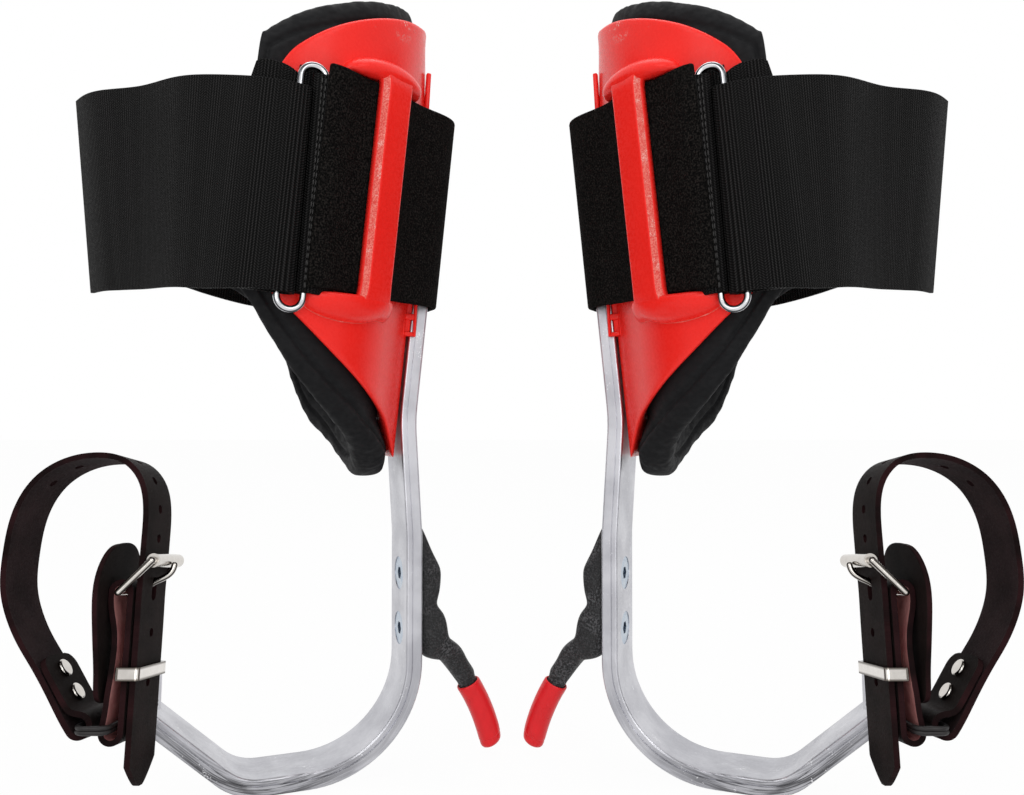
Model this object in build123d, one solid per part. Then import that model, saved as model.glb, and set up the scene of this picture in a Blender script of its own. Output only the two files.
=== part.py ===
from build123d import *
import os
from math import atan2, cos, hypot, radians, sin, sqrt, tan

# Pair of tree climbing spikes, millimetres, +Z up. Each climber is modelled once in its own
# frame (x towards the gaff, y away from the viewer, z up), turned and set on the left,
# and the right one is its mirror image.

# Placing of the pair
half_spacing = 56.5       # mid plane of the pair to the leg side of a shank
toe_angle = 21.6          # each climber is turned this much about the vertical
depth_shift = 24.0        # centres the pair front to back

# Shank and stirrup bar
bar_width = 30.0
bar_thick = 8.0
bar_round = 1.1
tread_height = 8.0        # top of the stirrup flat above the ground
corner_radius = 46.0      # bend between shank and stirrup
stirrup_flat = 75.2       # shank to the foot of the outer arm
arm_run = 39.9
arm_rise = 37.0
knee_height = 162.0       # the shank leans out above this
shank_height = 106.0      # straight part above the tread
knee_inset = 3.3
shank_top = 290.6
groove_offset = 2.2
groove_width = 1.0
groove_depth = 0.8

# Gaff, its screws and its guard
gaff_width = 22.0
gaff_screw_z = (59.5, 86.5)
screw_radius = 4.0
screw_head_radius = 8.0
screw_head_depth = 4.0
spike_radius = 4.6
spike_angle = 24.3        # from the vertical
spike_length = 35.0
guard_wall = 1.0
guard_gap = 0.3

# Calf cuff (all in the cuff's frame, leaning with the shank)
cuff_lean = 6.0
cuff_axis_z = 256.0       # height of the cuff's middle
cuff_radius = 63.0
cuff_wall = 3.5
cuff_wing = 100.0         # half angle of the shell
boss_thick = 5.3
flange_thick = 2.7
flange_grip = 2.6
boss_low = -47.0
boss_high = 46.0
flange_high = 84.0
flange_taper = 6.0
keel_low = -106.0          # keel down the back of the shell
keel_high = 46.0
keel_rise = 4.0
keel_half = 13.2
keel_angle = 34.0
bar_angles = (47.0, 60.5)
lip_gap = 0.6             # belt edge to lip
lip_height = 10.0
belt_width = 92.0
belt_thick = 3.0
belt_mid = 6.0
pad_thick = 12.5
pad_wing = 109.0
channel_step = 22.0
channel_radius = 2.6
webbing_thick = 2.2
wire_radius = 1.5
ring_span = 10.6
ring_straight = 90.0
ring_drop = 4.5
fold_radius = 2.6
far_lift = 14.0
end_shift = 3.3
end_lean = 0.21

# Foot strap (in the strap's frame: x across the loop, y along it, z across its width)
strap_turn = 22.0
strap_lift = 9.4
strap_origin = (-115.0, -34.0, 94.0)
strap_width = 25.0
strap_thick = 2.6
tail_in = 0.6
tail_tip = -78.0
tail_point = 9.0
hole_radius = 2.3
eye_x = -18.2
eye_y = -53.7
eye_radius = 3.0
lap_length = 31.0
rivet_steps = (13.4, 24.4)
rivet_radius = 3.8
buckle_layer = 2.8
buckle_gap = 4.8
buckle_front = -3.0
buckle_bar_y = -2.5
buckle_foot_y = -56.4
shield_thick = 2.9
frame_wire = 1.5
frame_half = 15.0
roller_at = (7.0, 10.0)
roller_radius = 2.8
running = 0.06
keeper_wall = 1.2
keeper_height = 5.0
keeper_y = -34.0
link_wire = 1.0
link_lift = 5.0
link_near = 16.0
link_far = -36.0
lug_thick = 8.0
lug_hole = 5.5
lug_hole_rise = 1.2       # hole centre above the link's wire
link_swing = 17.0         # room under the link for its swing, degrees
link_slack = 0.5
foot_x = 0.6              # leg side of the straight shank
cut_reach = 600.0         # longer than any cut needs


def unit(a, b):
    length = hypot(b[0] - a[0], b[1] - a[1])
    return ((b[0] - a[0]) / length, (b[1] - a[1]) / length)


def bent_line(corners, radii, shift):
    """Edges of a bent line moved sideways by shift, each corner rounded."""
    steps = [unit(a, b) for a, b in zip(corners, corners[1:])]
    sides = [(-d[1], d[0]) for d in steps]
    ends = [(corners[0][0] + sides[0][0] * shift, corners[0][1] + sides[0][1] * shift)]
    edges = []
    for k, radius in enumerate(radii):
        a, b = steps[k], steps[k + 1]
        n, m = sides[k], sides[k + 1]
        dot = n[0] * m[0] + n[1] * m[1]
        turn = a[0] * b[1] - a[1] * b[0]
        c = [corners[k + 1][i] + (n[i] + m[i]) * shift / (1 + dot) for i in (0, 1)]
        r = radius - shift if turn > 0 else radius + shift
        half = sqrt((1 - dot) / (1 + dot))
        p = (c[0] - a[0] * r * half, c[1] - a[1] * r * half)
        q = (c[0] + b[0] * r * half, c[1] + b[1] * r * half)
        sag = r * (sqrt(1 + half * half) - 1)
        way = unit((0, 0), (b[0] - a[0], b[1] - a[1]))
        edges.append(Line(ends[-1], p))
        edges.append(ThreePointArc(p, (c[0] + way[0] * sag, c[1] + way[1] * sag), q))
        ends.append(q)
    last = corners[-1]
    stop = (last[0] + sides[-1][0] * shift, last[1] + sides[-1][1] * shift)
    edges.append(Line(ends[-1], stop))
    return edges, ends[0], stop


def bar_face(corners, radii, inner, outer):
    """Flat face between two parallel bent lines."""
    one, a, b = bent_line(corners, radii, inner)
    two, c, d = bent_line(corners, radii, outer)
    return make_face(one + [Line(b, d)] + two + [Line(c, a)])


def strip(points, thick):
    """Face of constant thickness along a smooth line through the points."""
    mid = Spline(*points)
    count = 3 * len(points)
    left, right = [], []
    for k in range(count + 1):
        p, t = mid @ (k / count), mid % (k / count)
        left.append((p.X - t.Y * thick / 2, p.Y + t.X * thick / 2))
        right.append((p.X + t.Y * thick / 2, p.Y - t.X * thick / 2))
    ends = [Line(left[0], right[0]), Line(left[-1], right[-1])]
    return make_face([Spline(*left), Spline(*right)] + ends)


def slab(face, low, high):
    """Face in the xy plane made solid between two heights."""
    return Pos(0, 0, low) * extrude(face, high - low)


def side_slab(face, half):
    """Face drawn in x and z made solid both ways along y."""
    return extrude(Plane.XZ * face, half, both=True)


def sector(r0, r1, a0, a1, z0, z1):
    """Part of a ring about the z axis."""
    steps = 12
    angles = [radians(a0 + (a1 - a0) * k / steps) for k in range(steps + 1)]
    far = [(2 * r1 * cos(a), 2 * r1 * sin(a)) for a in angles]
    wedge = make_face(Polyline((0, 0), *far, close=True))
    return slab((Circle(r1) - Circle(r0)) & wedge, z0, z1)


def level(shape, low, high):
    """Part of a shape in the cuff's frame between two level heights."""
    band = Pos(0, 0, (low + high) / 2) * Box(cut_reach, cut_reach, high - low)
    return shape & (Rot(0, -cuff_lean, 0) * band)


def polar(r, angle):
    return (r * cos(radians(angle)), r * sin(radians(angle)))


def rod(a, b, radius):
    """Round rod from a to b."""
    a, b = Vector(*a), Vector(*b)
    at = Plane(origin=a, z_dir=b - a)
    return at * extrude(Circle(radius), (b - a).length)


def countersunk(length, radius, head_radius, head_depth, socket):
    """Screw along +x with its flat head at x = 0."""
    outline = Polyline(
        (0, 0), (0, head_radius), (0.6, head_radius), (head_depth + 0.6, radius),
        (length, radius), (length, 0), close=True)
    body = revolve(make_face(outline), Axis.X)
    key = Plane.YZ * extrude(RegularPolygon(socket, 6), head_depth * 0.8)
    return body - key


def sink(length, radius, head_radius, head_depth, slack):
    """Hole that takes the same screw."""
    outline = Polyline(
        (-1, 0), (-1, head_radius), (0.6, head_radius), (head_depth + 0.6, radius),
        (head_depth + 0.6, radius + slack), (length, radius + slack), (length, 0), close=True)
    return revolve(make_face(outline), Axis.X)


# Frames: the cuff stands on the leaning shank
shank_in = cuff_radius + boss_thick
lean = tan(radians(cuff_lean))
cuff_axis_x = foot_x - knee_inset + (cuff_axis_z - knee_height) * lean - shank_in / cos(
    radians(cuff_lean))
cuff_at = Plane(
    origin=(cuff_axis_x, 0, cuff_axis_z),
    x_dir=(cos(radians(cuff_lean)), 0, -sin(radians(cuff_lean))),
    z_dir=(sin(radians(cuff_lean)), 0, cos(radians(cuff_lean))))
turn, lift = radians(strap_turn), radians(strap_lift)
across = (cos(turn), -sin(turn), 0)
near = (-sin(turn) * cos(lift), -cos(turn) * cos(lift), sin(lift))
strap_at = Plane(origin=strap_origin, x_dir=across, z_dir=near)
tilt = radians(link_lift)
level_near = (-sin(turn) * cos(tilt), -cos(turn) * cos(tilt), sin(tilt))
link_point = strap_at.from_local_coords(Vector(0, eye_y, 0))
link_at = Plane(origin=link_point, x_dir=across, z_dir=level_near)

node = {}

# Shank and stirrup
top_x = foot_x - knee_inset + (shank_top - knee_height) * lean
corners = [
    (top_x, shank_top), (foot_x - knee_inset, knee_height),
    (foot_x, shank_height), (foot_x, 0.0),
    (foot_x - stirrup_flat, 0.0),
    (foot_x - stirrup_flat - arm_run, arm_rise)]
radii = [90.0, 90.0, corner_radius, 22.0]
bar = side_slab(bar_face(corners, radii, 0, bar_thick), bar_width / 2)
long_edges = bar.edges().filter_by(
    lambda e: abs(abs(e.center().Y) - bar_width / 2) < 0.01 and e.length > 15)
bar = fillet(long_edges, bar_round)
groove = bar_face(corners, radii, groove_offset, groove_offset + groove_width)
for side in (-1, 1):
    bar -= Pos(0, side * bar_width / 2, 0) * side_slab(groove, groove_depth)
lug_x = (eye_x + buckle_front - buckle_gap / 2) / 2
lug = Pos(lug_x, 4.0, link_far - 0.5) * Box(lug_thick, 26.0, 17.0)
lug = fillet(lug.edges().filter_by(Axis.X).group_by(Axis.Y)[-1], 7.0)
clear = Pos(lug_x, lug_hole_rise, link_far) * Rot(0, 90, 0) * Cylinder(lug_hole, 40)
drop = 2 * link_wire + link_slack
swing_low = drop + (link_near - link_far) * tan(radians(link_swing))
swing_room = make_face(Polyline(
    (link_far - drop, 2 * drop), (link_far - drop, -drop), (link_far, -drop),
    (link_near, -swing_low), (link_near, 2 * drop), close=True))
wire_room = Plane(origin=(buckle_front - buckle_gap / 2, 0, 0), x_dir=(0, 0, 1), z_dir=(-1, 0, 0))
clear += wire_room * extrude(swing_room, link_wire + link_slack, both=True)
beyond = Pos(lug_x - lug_thick / 2 - 20, -4, link_far) * Box(40, 60, 120)
bar -= link_at * beyond
bar = bar + link_at * lug - link_at * clear
node["shank_stirrup"] = bar

# Gaff: cast body bolted to the outer face, with a round tapered spike
gx = foot_x + bar_thick
body_line = Polyline(
    (gx, 109.0), (gx + 2.4, 109.0), (gx + 6.8, 97.0), (gx + 10.2, 91.0), (gx + 11.3, 85.5),
    (gx + 11.0, 80.0), (gx + 9.8, 71.0), (gx + 13.4, 65.0), (gx + 15.6, 54.5),
    (gx + 22.0, 48.5), (gx + 27.5, 38.0), (gx + 20.5, 36.0), (gx + 13.3, 41.4),
    (gx + 8.7, 44.0), (gx, 46.0), close=True)
gaff = side_slab(make_face(body_line), gaff_width / 2)
spike_way = (sin(radians(spike_angle)), 0, -cos(radians(spike_angle)))
spike_from = (gx + 27.9, 0, 29.0)
collar = (spike_from[0] - 12 * spike_way[0], 0, spike_from[2] - 12 * spike_way[2])
spike_at = Plane(origin=collar, z_dir=spike_way)
neck = spike_at * extrude(Circle(spike_radius), 14)
tip = Plane(origin=spike_from, z_dir=spike_way) * Pos(0, 0, spike_length / 2 - 1.5) * Cone(
    spike_radius, 1.2, spike_length - 5)
for side in (-1, 1):
    wedge = Polyline(
        (gx + 6.0, side * 30), (gx + 6.0, side * gaff_width / 2),
        (gx + 29.0, side * spike_radius), (gx + 40.0, side * spike_radius),
        (gx + 40.0, side * 30), close=True)
    gaff -= slab(make_face(wedge), 30, 62)
gaff = gaff + neck + tip
for z in gaff_screw_z:
    gaff -= Pos(foot_x, 0, z) * sink(
        gx + 8.6 - foot_x, screw_radius, screw_head_radius, screw_head_depth, 0.03)
node["gaff"] = gaff
screw = countersunk(gx + 8.0 - foot_x, screw_radius, screw_head_radius, screw_head_depth, 3.2)
node["gaff_screws"] = Compound([Pos(foot_x + 0.3, 0, z) * screw for z in gaff_screw_z])
for z in gaff_screw_z:
    bar -= Pos(foot_x + 0.3, 0, z) * sink(
        20, screw_radius, screw_head_radius, screw_head_depth, 0.2)
node["shank_stirrup"] = bar

# Guard: soft cap pushed over the spike
guard_at = Plane(origin=spike_from, z_dir=spike_way)
guard = extrude(Circle(spike_radius + guard_gap + guard_wall), spike_length)
guard = fillet(guard.edges().sort_by(Axis.Z)[-1], 2.4)
guard -= Pos(0, 0, -1) * extrude(Circle(spike_radius + guard_gap), spike_length - 1)
node["gaff_guard"] = guard_at * guard

# Calf cuff shell: ring sector trimmed to its side outline, with boss, lips and belt bars
r = cuff_radius
outline = make_face(Polyline(
    (r + 12, 106.0), (r * 0.4, 82.0), (r * 0.02, 66.0), (-0.19 * r, 53.0), (-0.19 * r, -36.0),
    (r * 0.08, -48.0), (r * 0.38, -62.2), (r * 0.63, -73.5), (r * 0.83, -83.4), (r * 0.925, -89.7),
    (r * 0.99, -97.4), (r + keel_rise, -106.5), (r + 12, -108.0), close=True))
outline = fillet(outline.vertices().group_by(Axis.X)[0], 7.0)
shell = sector(r - cuff_wall, r, -cuff_wing, cuff_wing, -112, 106) & side_slab(outline, 2 * r)
shell_cut = make_face(Polyline(
    (r, -112.0), (r, -106.0), (r * 0.86, -88.0), (r * 0.6, -64.0), (r * 0.45, -50.0),
    (r * 0.2, -36.0), (-r, -26.0), (-r, -130.0), (r, -130.0), close=True))
shell -= Pos(0, 2 * r, 0) * side_slab(shell_cut, 2 * r)
keel_x, keel_y = polar(r, keel_angle)
keel = make_face(Polyline(
    (keel_x, -keel_y), (r + keel_rise, -keel_half), (r + keel_rise, keel_half), (keel_x, keel_y),
    close=True)) - Circle(r - cuff_wall / 2)
keel = slab(keel, keel_low, keel_high) & side_slab(outline, 2 * r)
boss = Pos((r - 1.5 + shank_in) / 2, 0, (boss_low + boss_high) / 2) * Box(
    boss_thick + 1.5, bar_width, boss_high - boss_low)
flange_out = shank_in + flange_grip
flange_side = make_face(Polyline(
    (r - 3, boss_low), (flange_out, boss_low), (flange_out - flange_taper, flange_high),
    (r - 3, flange_high), close=True))
taper = flange_taper / (flange_high - boss_low)
pockets = int((flange_high - boss_low - 4) // 8.7)
for side in (-1, 1):
    y = side * (bar_width / 2 + 0.2 + flange_thick / 2)
    flange = Pos(0, y, 0) * side_slab(flange_side, flange_thick / 2)
    for k in range(pockets):
        up = 5.0 + 8.7 * k
        flange -= Pos(flange_out - 3.5 - taper * up, y, boss_low + up) * Box(4.4, 8.0, 5.8)
    web = Pos((r - 3 + shank_in) / 2, y - side * flange_thick / 2, (boss_low + boss_high) / 2)
    boss += flange + web * Box(boss_thick + 3, 1.2, boss_high - boss_low)
cuff = shell + keel + boss
slot_out = r + 0.2 + belt_thick + 0.4
belt_low, belt_high = belt_mid - belt_width / 2, belt_mid + belt_width / 2
lip_low = (belt_low - lip_gap - lip_height, belt_low - lip_gap)
lip_high = (belt_high + lip_gap, belt_high + lip_gap + lip_height)
for side in (-1, 1):
    a0, a1 = side * bar_angles[0], side * bar_angles[1]
    rail = sector(slot_out, slot_out + 4.6, a0, a1, -90, 90)
    upper = sector(r - 1, slot_out + 3.0, side * 35, side * 73, 0, 90)
    lower = sector(r - 1, slot_out + 3.0, side * 41, -76 if side < 0 else 62, -90, 0)
    cuff += level(rail, lip_low[0], lip_high[1])
    cuff += level(upper, lip_high[0], lip_high[1]) + level(lower, lip_low[0], lip_low[1])
screw_z = (-18.0, 24.0)
small_head, small_depth, small_radius = 5.6, 2.6, 3.0
flip = Rot(0, 0, 180)
for z in screw_z:
    cuff -= Pos(shank_in + bar_thick - 0.2, 0, z) * flip * sink(
        40, small_radius, small_head, small_depth, 0.2)
    cuff -= Pos(r - cuff_wall - 1, 0, z) * (Plane.YZ * extrude(RegularPolygon(5.8, 6), 6.2))
node["calf_cuff"] = cuff_at * cuff
for z in screw_z:
    bar -= cuff_at * (Pos(shank_in + bar_thick - 0.2, 0, z) * flip * sink(
        14, small_radius, small_head, small_depth, 0.2))
node["shank_stirrup"] = bar
fixing = countersunk(shank_in + bar_thick - r + cuff_wall - 0.5, small_radius, small_head,
                     small_depth, 2.3)
node["cuff_screws"] = cuff_at * Compound(
    [Pos(shank_in + bar_thick - 0.2, 0, z) * flip * fixing for z in screw_z])
nut = Plane.YZ * extrude(RegularPolygon(5.7, 6) - Circle(small_radius + 0.03), 5.0)
node["cuff_nuts"] = cuff_at * Compound(
    [Pos(r - cuff_wall + 0.2, 0, z) * nut for z in screw_z])

# Calf pad: thick foam lining with channels down its inner face
pad_out = r - cuff_wall
pad_in = pad_out - pad_thick
pad_line = make_face(Polyline(
    (r + 12, 108.0), (r * 0.62, 97.0), (r * 0.2, 85.2), (-0.12 * r, 75.2), (-0.33 * r, 62.0),
    (-0.33 * r, -41.0), (-0.2 * r, -50.0), (r * 0.1, -70.0), (r * 0.4, -86.0),
    (r * 0.72, -102.0), (r * 0.9, -114.0), (r + 12, -114.0), close=True))
pad_line = fillet(pad_line.vertices().group_by(Axis.X)[0], 6.0)
pad = sector(pad_in, pad_out, -pad_wing, pad_wing, -116, 110) & side_slab(pad_line, 2 * r)
pad_cut = make_face(Polyline(
    (r * 0.95, -114.0), (r * 0.78, -102.0), (r * 0.52, -86.0), (r * 0.36, -70.0),
    (r * 0.27, -56.0), (r * 0.2, -46.0), (r * 0.05, -35.0), (-r, -27.0),
    (-r, -130.0), (r * 0.95, -130.0), close=True))
pad -= Pos(0, 2 * r, 0) * side_slab(pad_cut, 2 * r)
channels = int(pad_wing * 0.85 // channel_step)
for k in range(-channels, channels + 1):
    x, y = polar(pad_in - 0.8, k * channel_step)
    pad -= Pos(x, y, 0) * Cylinder(channel_radius, cut_reach)
node["calf_pad"] = cuff_at * pad

# Hook-and-loop belt: round the cuff under both bars and over the back of the shank
belt_r = r + 0.2 + belt_thick / 2
back = shank_in + bar_thick + belt_thick
quarter = [polar(belt_r, a) for a in (-80, -68, -56, -46, -38)] + [
    (r + 1.5, -bar_width / 2 - 14.5), (back - 5.8, -bar_width / 2 - 8.0),
    (back - 0.7, -bar_width / 2 - 0.5), (back, -6.0)]
run = quarter + [(x, -y) for x, y in reversed(quarter)] + [polar(belt_r, a) for a in (89, 98)]
fold = belt_thick / 2 + wire_radius + 0.3
leg = polar(belt_r + fold, -82.5)
belt = strip(run, belt_thick) + Pos(*leg) * (
    Circle(fold + belt_thick / 2) - Circle(fold - belt_thick / 2))
belt -= Pos(*leg) * Circle(fold - belt_thick / 2)
ring_mid = belt_mid - ring_drop
belt = level(slab(belt, -90, 90), belt_low, belt_high)
eye_end = ring_mid + ring_straight / 2 - 0.8
belt -= Pos(*leg, eye_end + 20) * Box(2 * fold + 2 * belt_thick + 2, 24, 40)
belt -= Pos(*leg, ring_mid - ring_straight / 2 - 19.2) * Box(2 * fold + 2 * belt_thick + 2, 24, 40)
far_end = make_face(Polyline(
    (22, -90), (22, belt_low), (10, belt_low + 13), (-30, belt_low + 15), (-30, -90), close=True))
belt -= Pos(0, cut_reach, 0) * side_slab(far_end, cut_reach)
node["calf_belt"] = cuff_at * belt

# Ring that joins the belt to the webbing
leg_two = (leg[0] - ring_span, leg[1] - 0.9)
way = Vector(leg_two[0] - leg[0], leg_two[1] - leg[1], 0).normalized()
centre = ((leg[0] + leg_two[0]) / 2, (leg[1] + leg_two[1]) / 2, ring_mid)
span = hypot(leg_two[0] - leg[0], leg_two[1] - leg[1])
ring_at = Plane(origin=centre, x_dir=way, z_dir=way.cross(Vector(0, 0, 1)))
path = ring_at * (Rot(0, 0, 90) * SlotCenterToCenter(ring_straight, span)).wire()
ring = sweep(Plane(origin=path @ 0, z_dir=path % 0) * Circle(wire_radius), path=path)
node["calf_ring"] = cuff_at * ring

# Webbing: from the far end of the belt round the leg space, through the ring and back
web_r = belt_r + belt_thick / 2 + webbing_thick / 2 + 0.4
bend = fold_radius + webbing_thick / 2
inner = (leg_two[0], leg_two[1] + bend)
outer = (leg_two[0], leg_two[1] - bend)
front_run = [outer, (outer[0] - 5, outer[1] + 0.2), (-17, -68), (-28.5, -57), (-43, -41.5),
             (-60.5, -10.5), (-79.5, 14), (-86.5, 32)]
back_run = [polar(web_r, 80), polar(web_r, 92), (-20, web_r - 1.5), (-42, web_r - 6),
            (-66, web_r - 15), (-80, 44), (-84, 33), (-77.3, 15.4), (-58.3, -9.1),
            (-40.9, -40), (-26.6, -55.2), (-15.5, -63.4), (inner[0] - 4, inner[1] - 0.1), inner]


def sheared(run, z):
    """The same line at height z: its far end leans back the other way."""
    out = []
    for x, y in run:
        share = min(max((-x - 25) / 50, 0), 1)
        out.append((x + share * (end_shift - end_lean * z), y))
    return out


def web_solid(run):
    ends = [Pos(0, 0, z) * strip(sheared(run, z), webbing_thick) for z in (-62, 72)]
    return loft(ends, ruled=True)


half = (Circle(bend + webbing_thick / 2) - Circle(bend - webbing_thick / 2)) & (
    Pos(10, 0) * Rectangle(20.2, 40))
eye_low, eye_high = ring_mid - ring_straight / 2 + 0.8, ring_mid + ring_straight / 2 - 5.0
front_side = make_face(Polyline(
    (10, eye_low), (-6, eye_low), (-24, -44.0), (-60, -42.0), (-95, -42.0), (-95, 47.5),
    (-60, 46.5), (-30, 44.0), (-17, 42.0), (-6, eye_high), (10, eye_high), close=True))
near_side = make_face(Polyline(
    (30, eye_low), (-6, eye_low), (-24, -43.0), (-70, -40.0), (-95, -40.0), (-95, 46.0),
    (-60, 46.0), (-34, 45.0), (-24, 46.6), (-10, 46.6), (-4, eye_high), (30, eye_high), close=True))
far_side = make_face(Polyline(
    (60, belt_low + 6), (-10, belt_low + 8), (-50, belt_low + far_lift), (-95, -40.0), (-95, 46.0),
    (-50, belt_high + far_lift), (-10, belt_high + 8), (60, belt_high + 6), close=True))
web = web_solid(front_run) & side_slab(front_side, cut_reach)
web += slab(Pos(*leg_two) * half, eye_low, eye_high)
web += (web_solid(back_run) & (Pos(0, 20 - cut_reach, 0) * side_slab(near_side, cut_reach)))
web += (web_solid(back_run) & (Pos(0, 20 + cut_reach, 0) * side_slab(far_side, cut_reach)))
node["calf_webbing"] = cuff_at * web

# Foot strap: one leather strap, eye on the link, loop, through the buckle, pointed tail
t = strap_thick
h = strap_width / 2
eye_mid = eye_radius + t / 2
turn_point = (-38.0, -31.0)
reach = hypot(eye_x - turn_point[0], eye_y - turn_point[1])
head = atan2(eye_y - turn_point[1], eye_x - turn_point[0]) - atan2(
    eye_mid, sqrt(reach ** 2 - eye_mid ** 2))
down = (cos(head), sin(head))
up_side = (-down[1], down[0])
start = (eye_x - up_side[0] * eye_mid, eye_y - up_side[1] * eye_mid)
tail_mid = tail_in + t / 2
loop_run = [start, (start[0] - 14 * down[0], start[1] - 14 * down[1]), turn_point,
            (-44.3, -22.0), (-49.2, -13.0), (-53.0, -1.0), (-53.4, 12.0), (-50.2, 32.0),
            (-43.5, 43.0), (-33.0, 50.0), (-20.0, 52.6), (-8.0, 50.2), (-1.0, 42.8),
            (2.1, 31.0), (2.3, 18.0), (tail_mid + 0.2, 6.0), (tail_mid, 0.0), (tail_mid, -5.0)]
loop = strip(loop_run, t)
lap = lambda s, off: (start[0] - s * down[0] + up_side[0] * off,
                      start[1] - s * down[1] + up_side[1] * off)
lap_run = [lap(0.72 * eye_mid, 1.69 * eye_mid), lap(1.2 * eye_mid, t + 2.4), lap(7.2, t + 0.9),
           lap(9.5, t + 0.4), lap(13, t + 0.4), lap(22, t + 0.4), lap(lap_length, t + 0.4)]
lap_face = strip(lap_run, t)
eye = Pos(eye_x, eye_y) * (Circle(eye_radius + t) - Circle(eye_radius))
flat = loop + lap_face + eye - Pos(eye_x, eye_y) * Circle(eye_radius)
strap = slab(flat, -h, h)
tail = Pos(tail_mid, (tail_tip - 5.0) / 2, 0) * Box(t, -5.0 - tail_tip, strap_width)
strap += tail
for side in (-1, 1):
    cut = Polyline(
        (side * h * 1.01, tail_tip + tail_point), (side * 2.5, tail_tip + 0.8),
        (0, tail_tip - 0.1), (0, tail_tip - 3), (side * h * 1.01, tail_tip - 3), close=True)
    strap -= Pos(tail_mid - 5, 0, 0) * (Plane.ZY * extrude(make_face(cut), 10, both=True))
    end = lap(lap_length, t + 0.4)
    trim = Plane(origin=(end[0], end[1], side * h), x_dir=(-down[0], -down[1], 0),
                 z_dir=(up_side[0], up_side[1], 0))
    strap -= trim * (Box(9, 9, t + 0.7) - Pos(-4.5, -side * 4.5, 0) * Cylinder(4.5, 9))
for y in (-18.8, -38.5, 18.9):
    strap -= Pos(tail_mid, y, 0) * Rot(0, 90, 0) * Cylinder(hole_radius, 8)
for k, angle in ((13, 80), (12, 62), (11, 18), (9, -28), (8, -50)):
    x, y = loop_run[k]
    strap -= Pos(x, y, 0) * Rot(0, 0, angle - 90) * Rot(0, 90, 0) * Cylinder(hole_radius, 8)
slot = Pos(tail_mid, -1.6, 0) * Box(t + 2.4, 9.6, 4.4)
strap -= slot
for s in rivet_steps:
    x, y = lap(s, (t + 0.4) / 2)
    strap -= Plane(origin=(x, y, 0), z_dir=(up_side[0], up_side[1], 0)) * Cylinder(2.0, 9)
node["foot_strap"] = strap_at * strap

# Rivets through the lap
rivets = []
for s in rivet_steps:
    x, y = lap(s, (t + 0.4) / 2)
    at = Plane(origin=(x, y, 0), z_dir=(up_side[0], up_side[1], 0))
    half_stack = t + 0.4
    cap = Pos(0, 0, half_stack + 0.6) * Cylinder(rivet_radius, 1.2)
    cap = fillet(cap.edges().sort_by(Axis.Z)[-1], 0.9)
    base = Pos(0, 0, -half_stack - 0.4) * Cylinder(rivet_radius, 0.8)
    rivets.append(at * (cap + base + Cylinder(1.97, 2 * half_stack + 0.4)))
node["strap_rivets"] = strap_at * Compound(rivets)

# Link: flat loop of doubled wire between the stirrup eye and both straps
gap_mid = buckle_front - buckle_gap / 2
link_w, link_l = gap_mid - eye_x, link_near - link_far
link_path = Pos((gap_mid + eye_x) / 2, 0, (link_near + link_far) / 2) * (
    Plane.XZ * RectangleRounded(link_w, link_l, 4.0)).wire()
dot = Circle(link_wire)
section = Pos(0, 0.85) * dot + Pos(0, -0.85) * dot
first = link_path @ 0
link = sweep(Plane(origin=first, x_dir=Vector(0, 1, 0).cross(link_path % 0),
                   z_dir=link_path % 0) * section, path=link_path)
node["foot_link"] = link_at * link

# Buckle strap: closed leather loop from the buckle bar down to the link
mid_y = (buckle_bar_y + buckle_foot_y) / 2
long = buckle_bar_y - buckle_foot_y
ring_in = Pos(gap_mid, mid_y) * Rot(0, 0, 90) * SlotCenterToCenter(long, buckle_gap)
ring_out = Pos(gap_mid, mid_y) * Rot(0, 0, 90) * SlotCenterToCenter(
    long, buckle_gap + 2 * buckle_layer)
hold = slab(ring_out - ring_in, -h, h)
hold -= Pos(gap_mid, buckle_bar_y + 1.0, 0) * Box(30, 12.0, 5.4)
node["buckle_strap"] = strap_at * hold

# Shield: oval leather backing behind the buckle strap
shield_x = gap_mid - buckle_gap / 2 - buckle_layer
edge = [(0, 17.0), (11.5, 13.0), (19.0, 5.0), (20.8, -4.0), (16.0, -25.0), (8.5, -45.0)]
side_a = Spline(*edge, tangents=((1, 0), (-0.35, -1)))
side_b = Spline(*[(-x, y) for x, y in edge], tangents=((-1, 0), (0.35, -1)))
foot = edge[-1]
base_line = ThreePointArc(foot, (0, foot[1] - 1.2), (-foot[0], foot[1]))
plate = make_face([side_a, side_b, base_line])
shield = Plane(origin=(shield_x, 0, 0), x_dir=(0, 0, 1), z_dir=(-1, 0, 0)) * extrude(
    plate, shield_thick)
node["foot_shield"] = strap_at * shield

# Buckle: wire frame on the strap's bar, roller and tongue
bar_a, bar_b = (gap_mid, buckle_bar_y), roller_at
f = frame_half
frame = rod((*bar_a, -f), (*bar_a, f), frame_wire) + rod((*bar_b, -f), (*bar_b, f), frame_wire)
for side in (-f, f):
    frame += rod((*bar_a, side), (*bar_b, side), frame_wire)
    frame += Pos(*bar_a, side) * Sphere(frame_wire) + Pos(*bar_b, side) * Sphere(frame_wire)
node["buckle_frame"] = strap_at * frame
tube = Circle(roller_radius) - Circle(frame_wire + running)
roll_half = f - frame_wire - 0.2
node["buckle_roller"] = strap_at * Pos(*bar_b, 0) * slab(tube, -roll_half, roll_half)
tip_way = unit(bar_b, (bar_b[0] + 0.84, bar_b[1] - 0.54))
reach = roller_radius + 1.3 + 0.25
rest = (bar_b[0] + tip_way[0] * reach, bar_b[1] + tip_way[1] * reach)
prong = Spline((bar_a[0] + 2.2, bar_a[1] + 0.2), (tail_mid, 0.6), (rest[0] - 1.6, rest[1] - 3.0),
               (rest[0] + 0.1, rest[1] + 0.6), tangents=((1, 0.1), (0.15, 1)))
tongue = sweep(Plane(origin=prong @ 0, z_dir=prong % 0) * Circle(1.3), path=prong)
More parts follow.
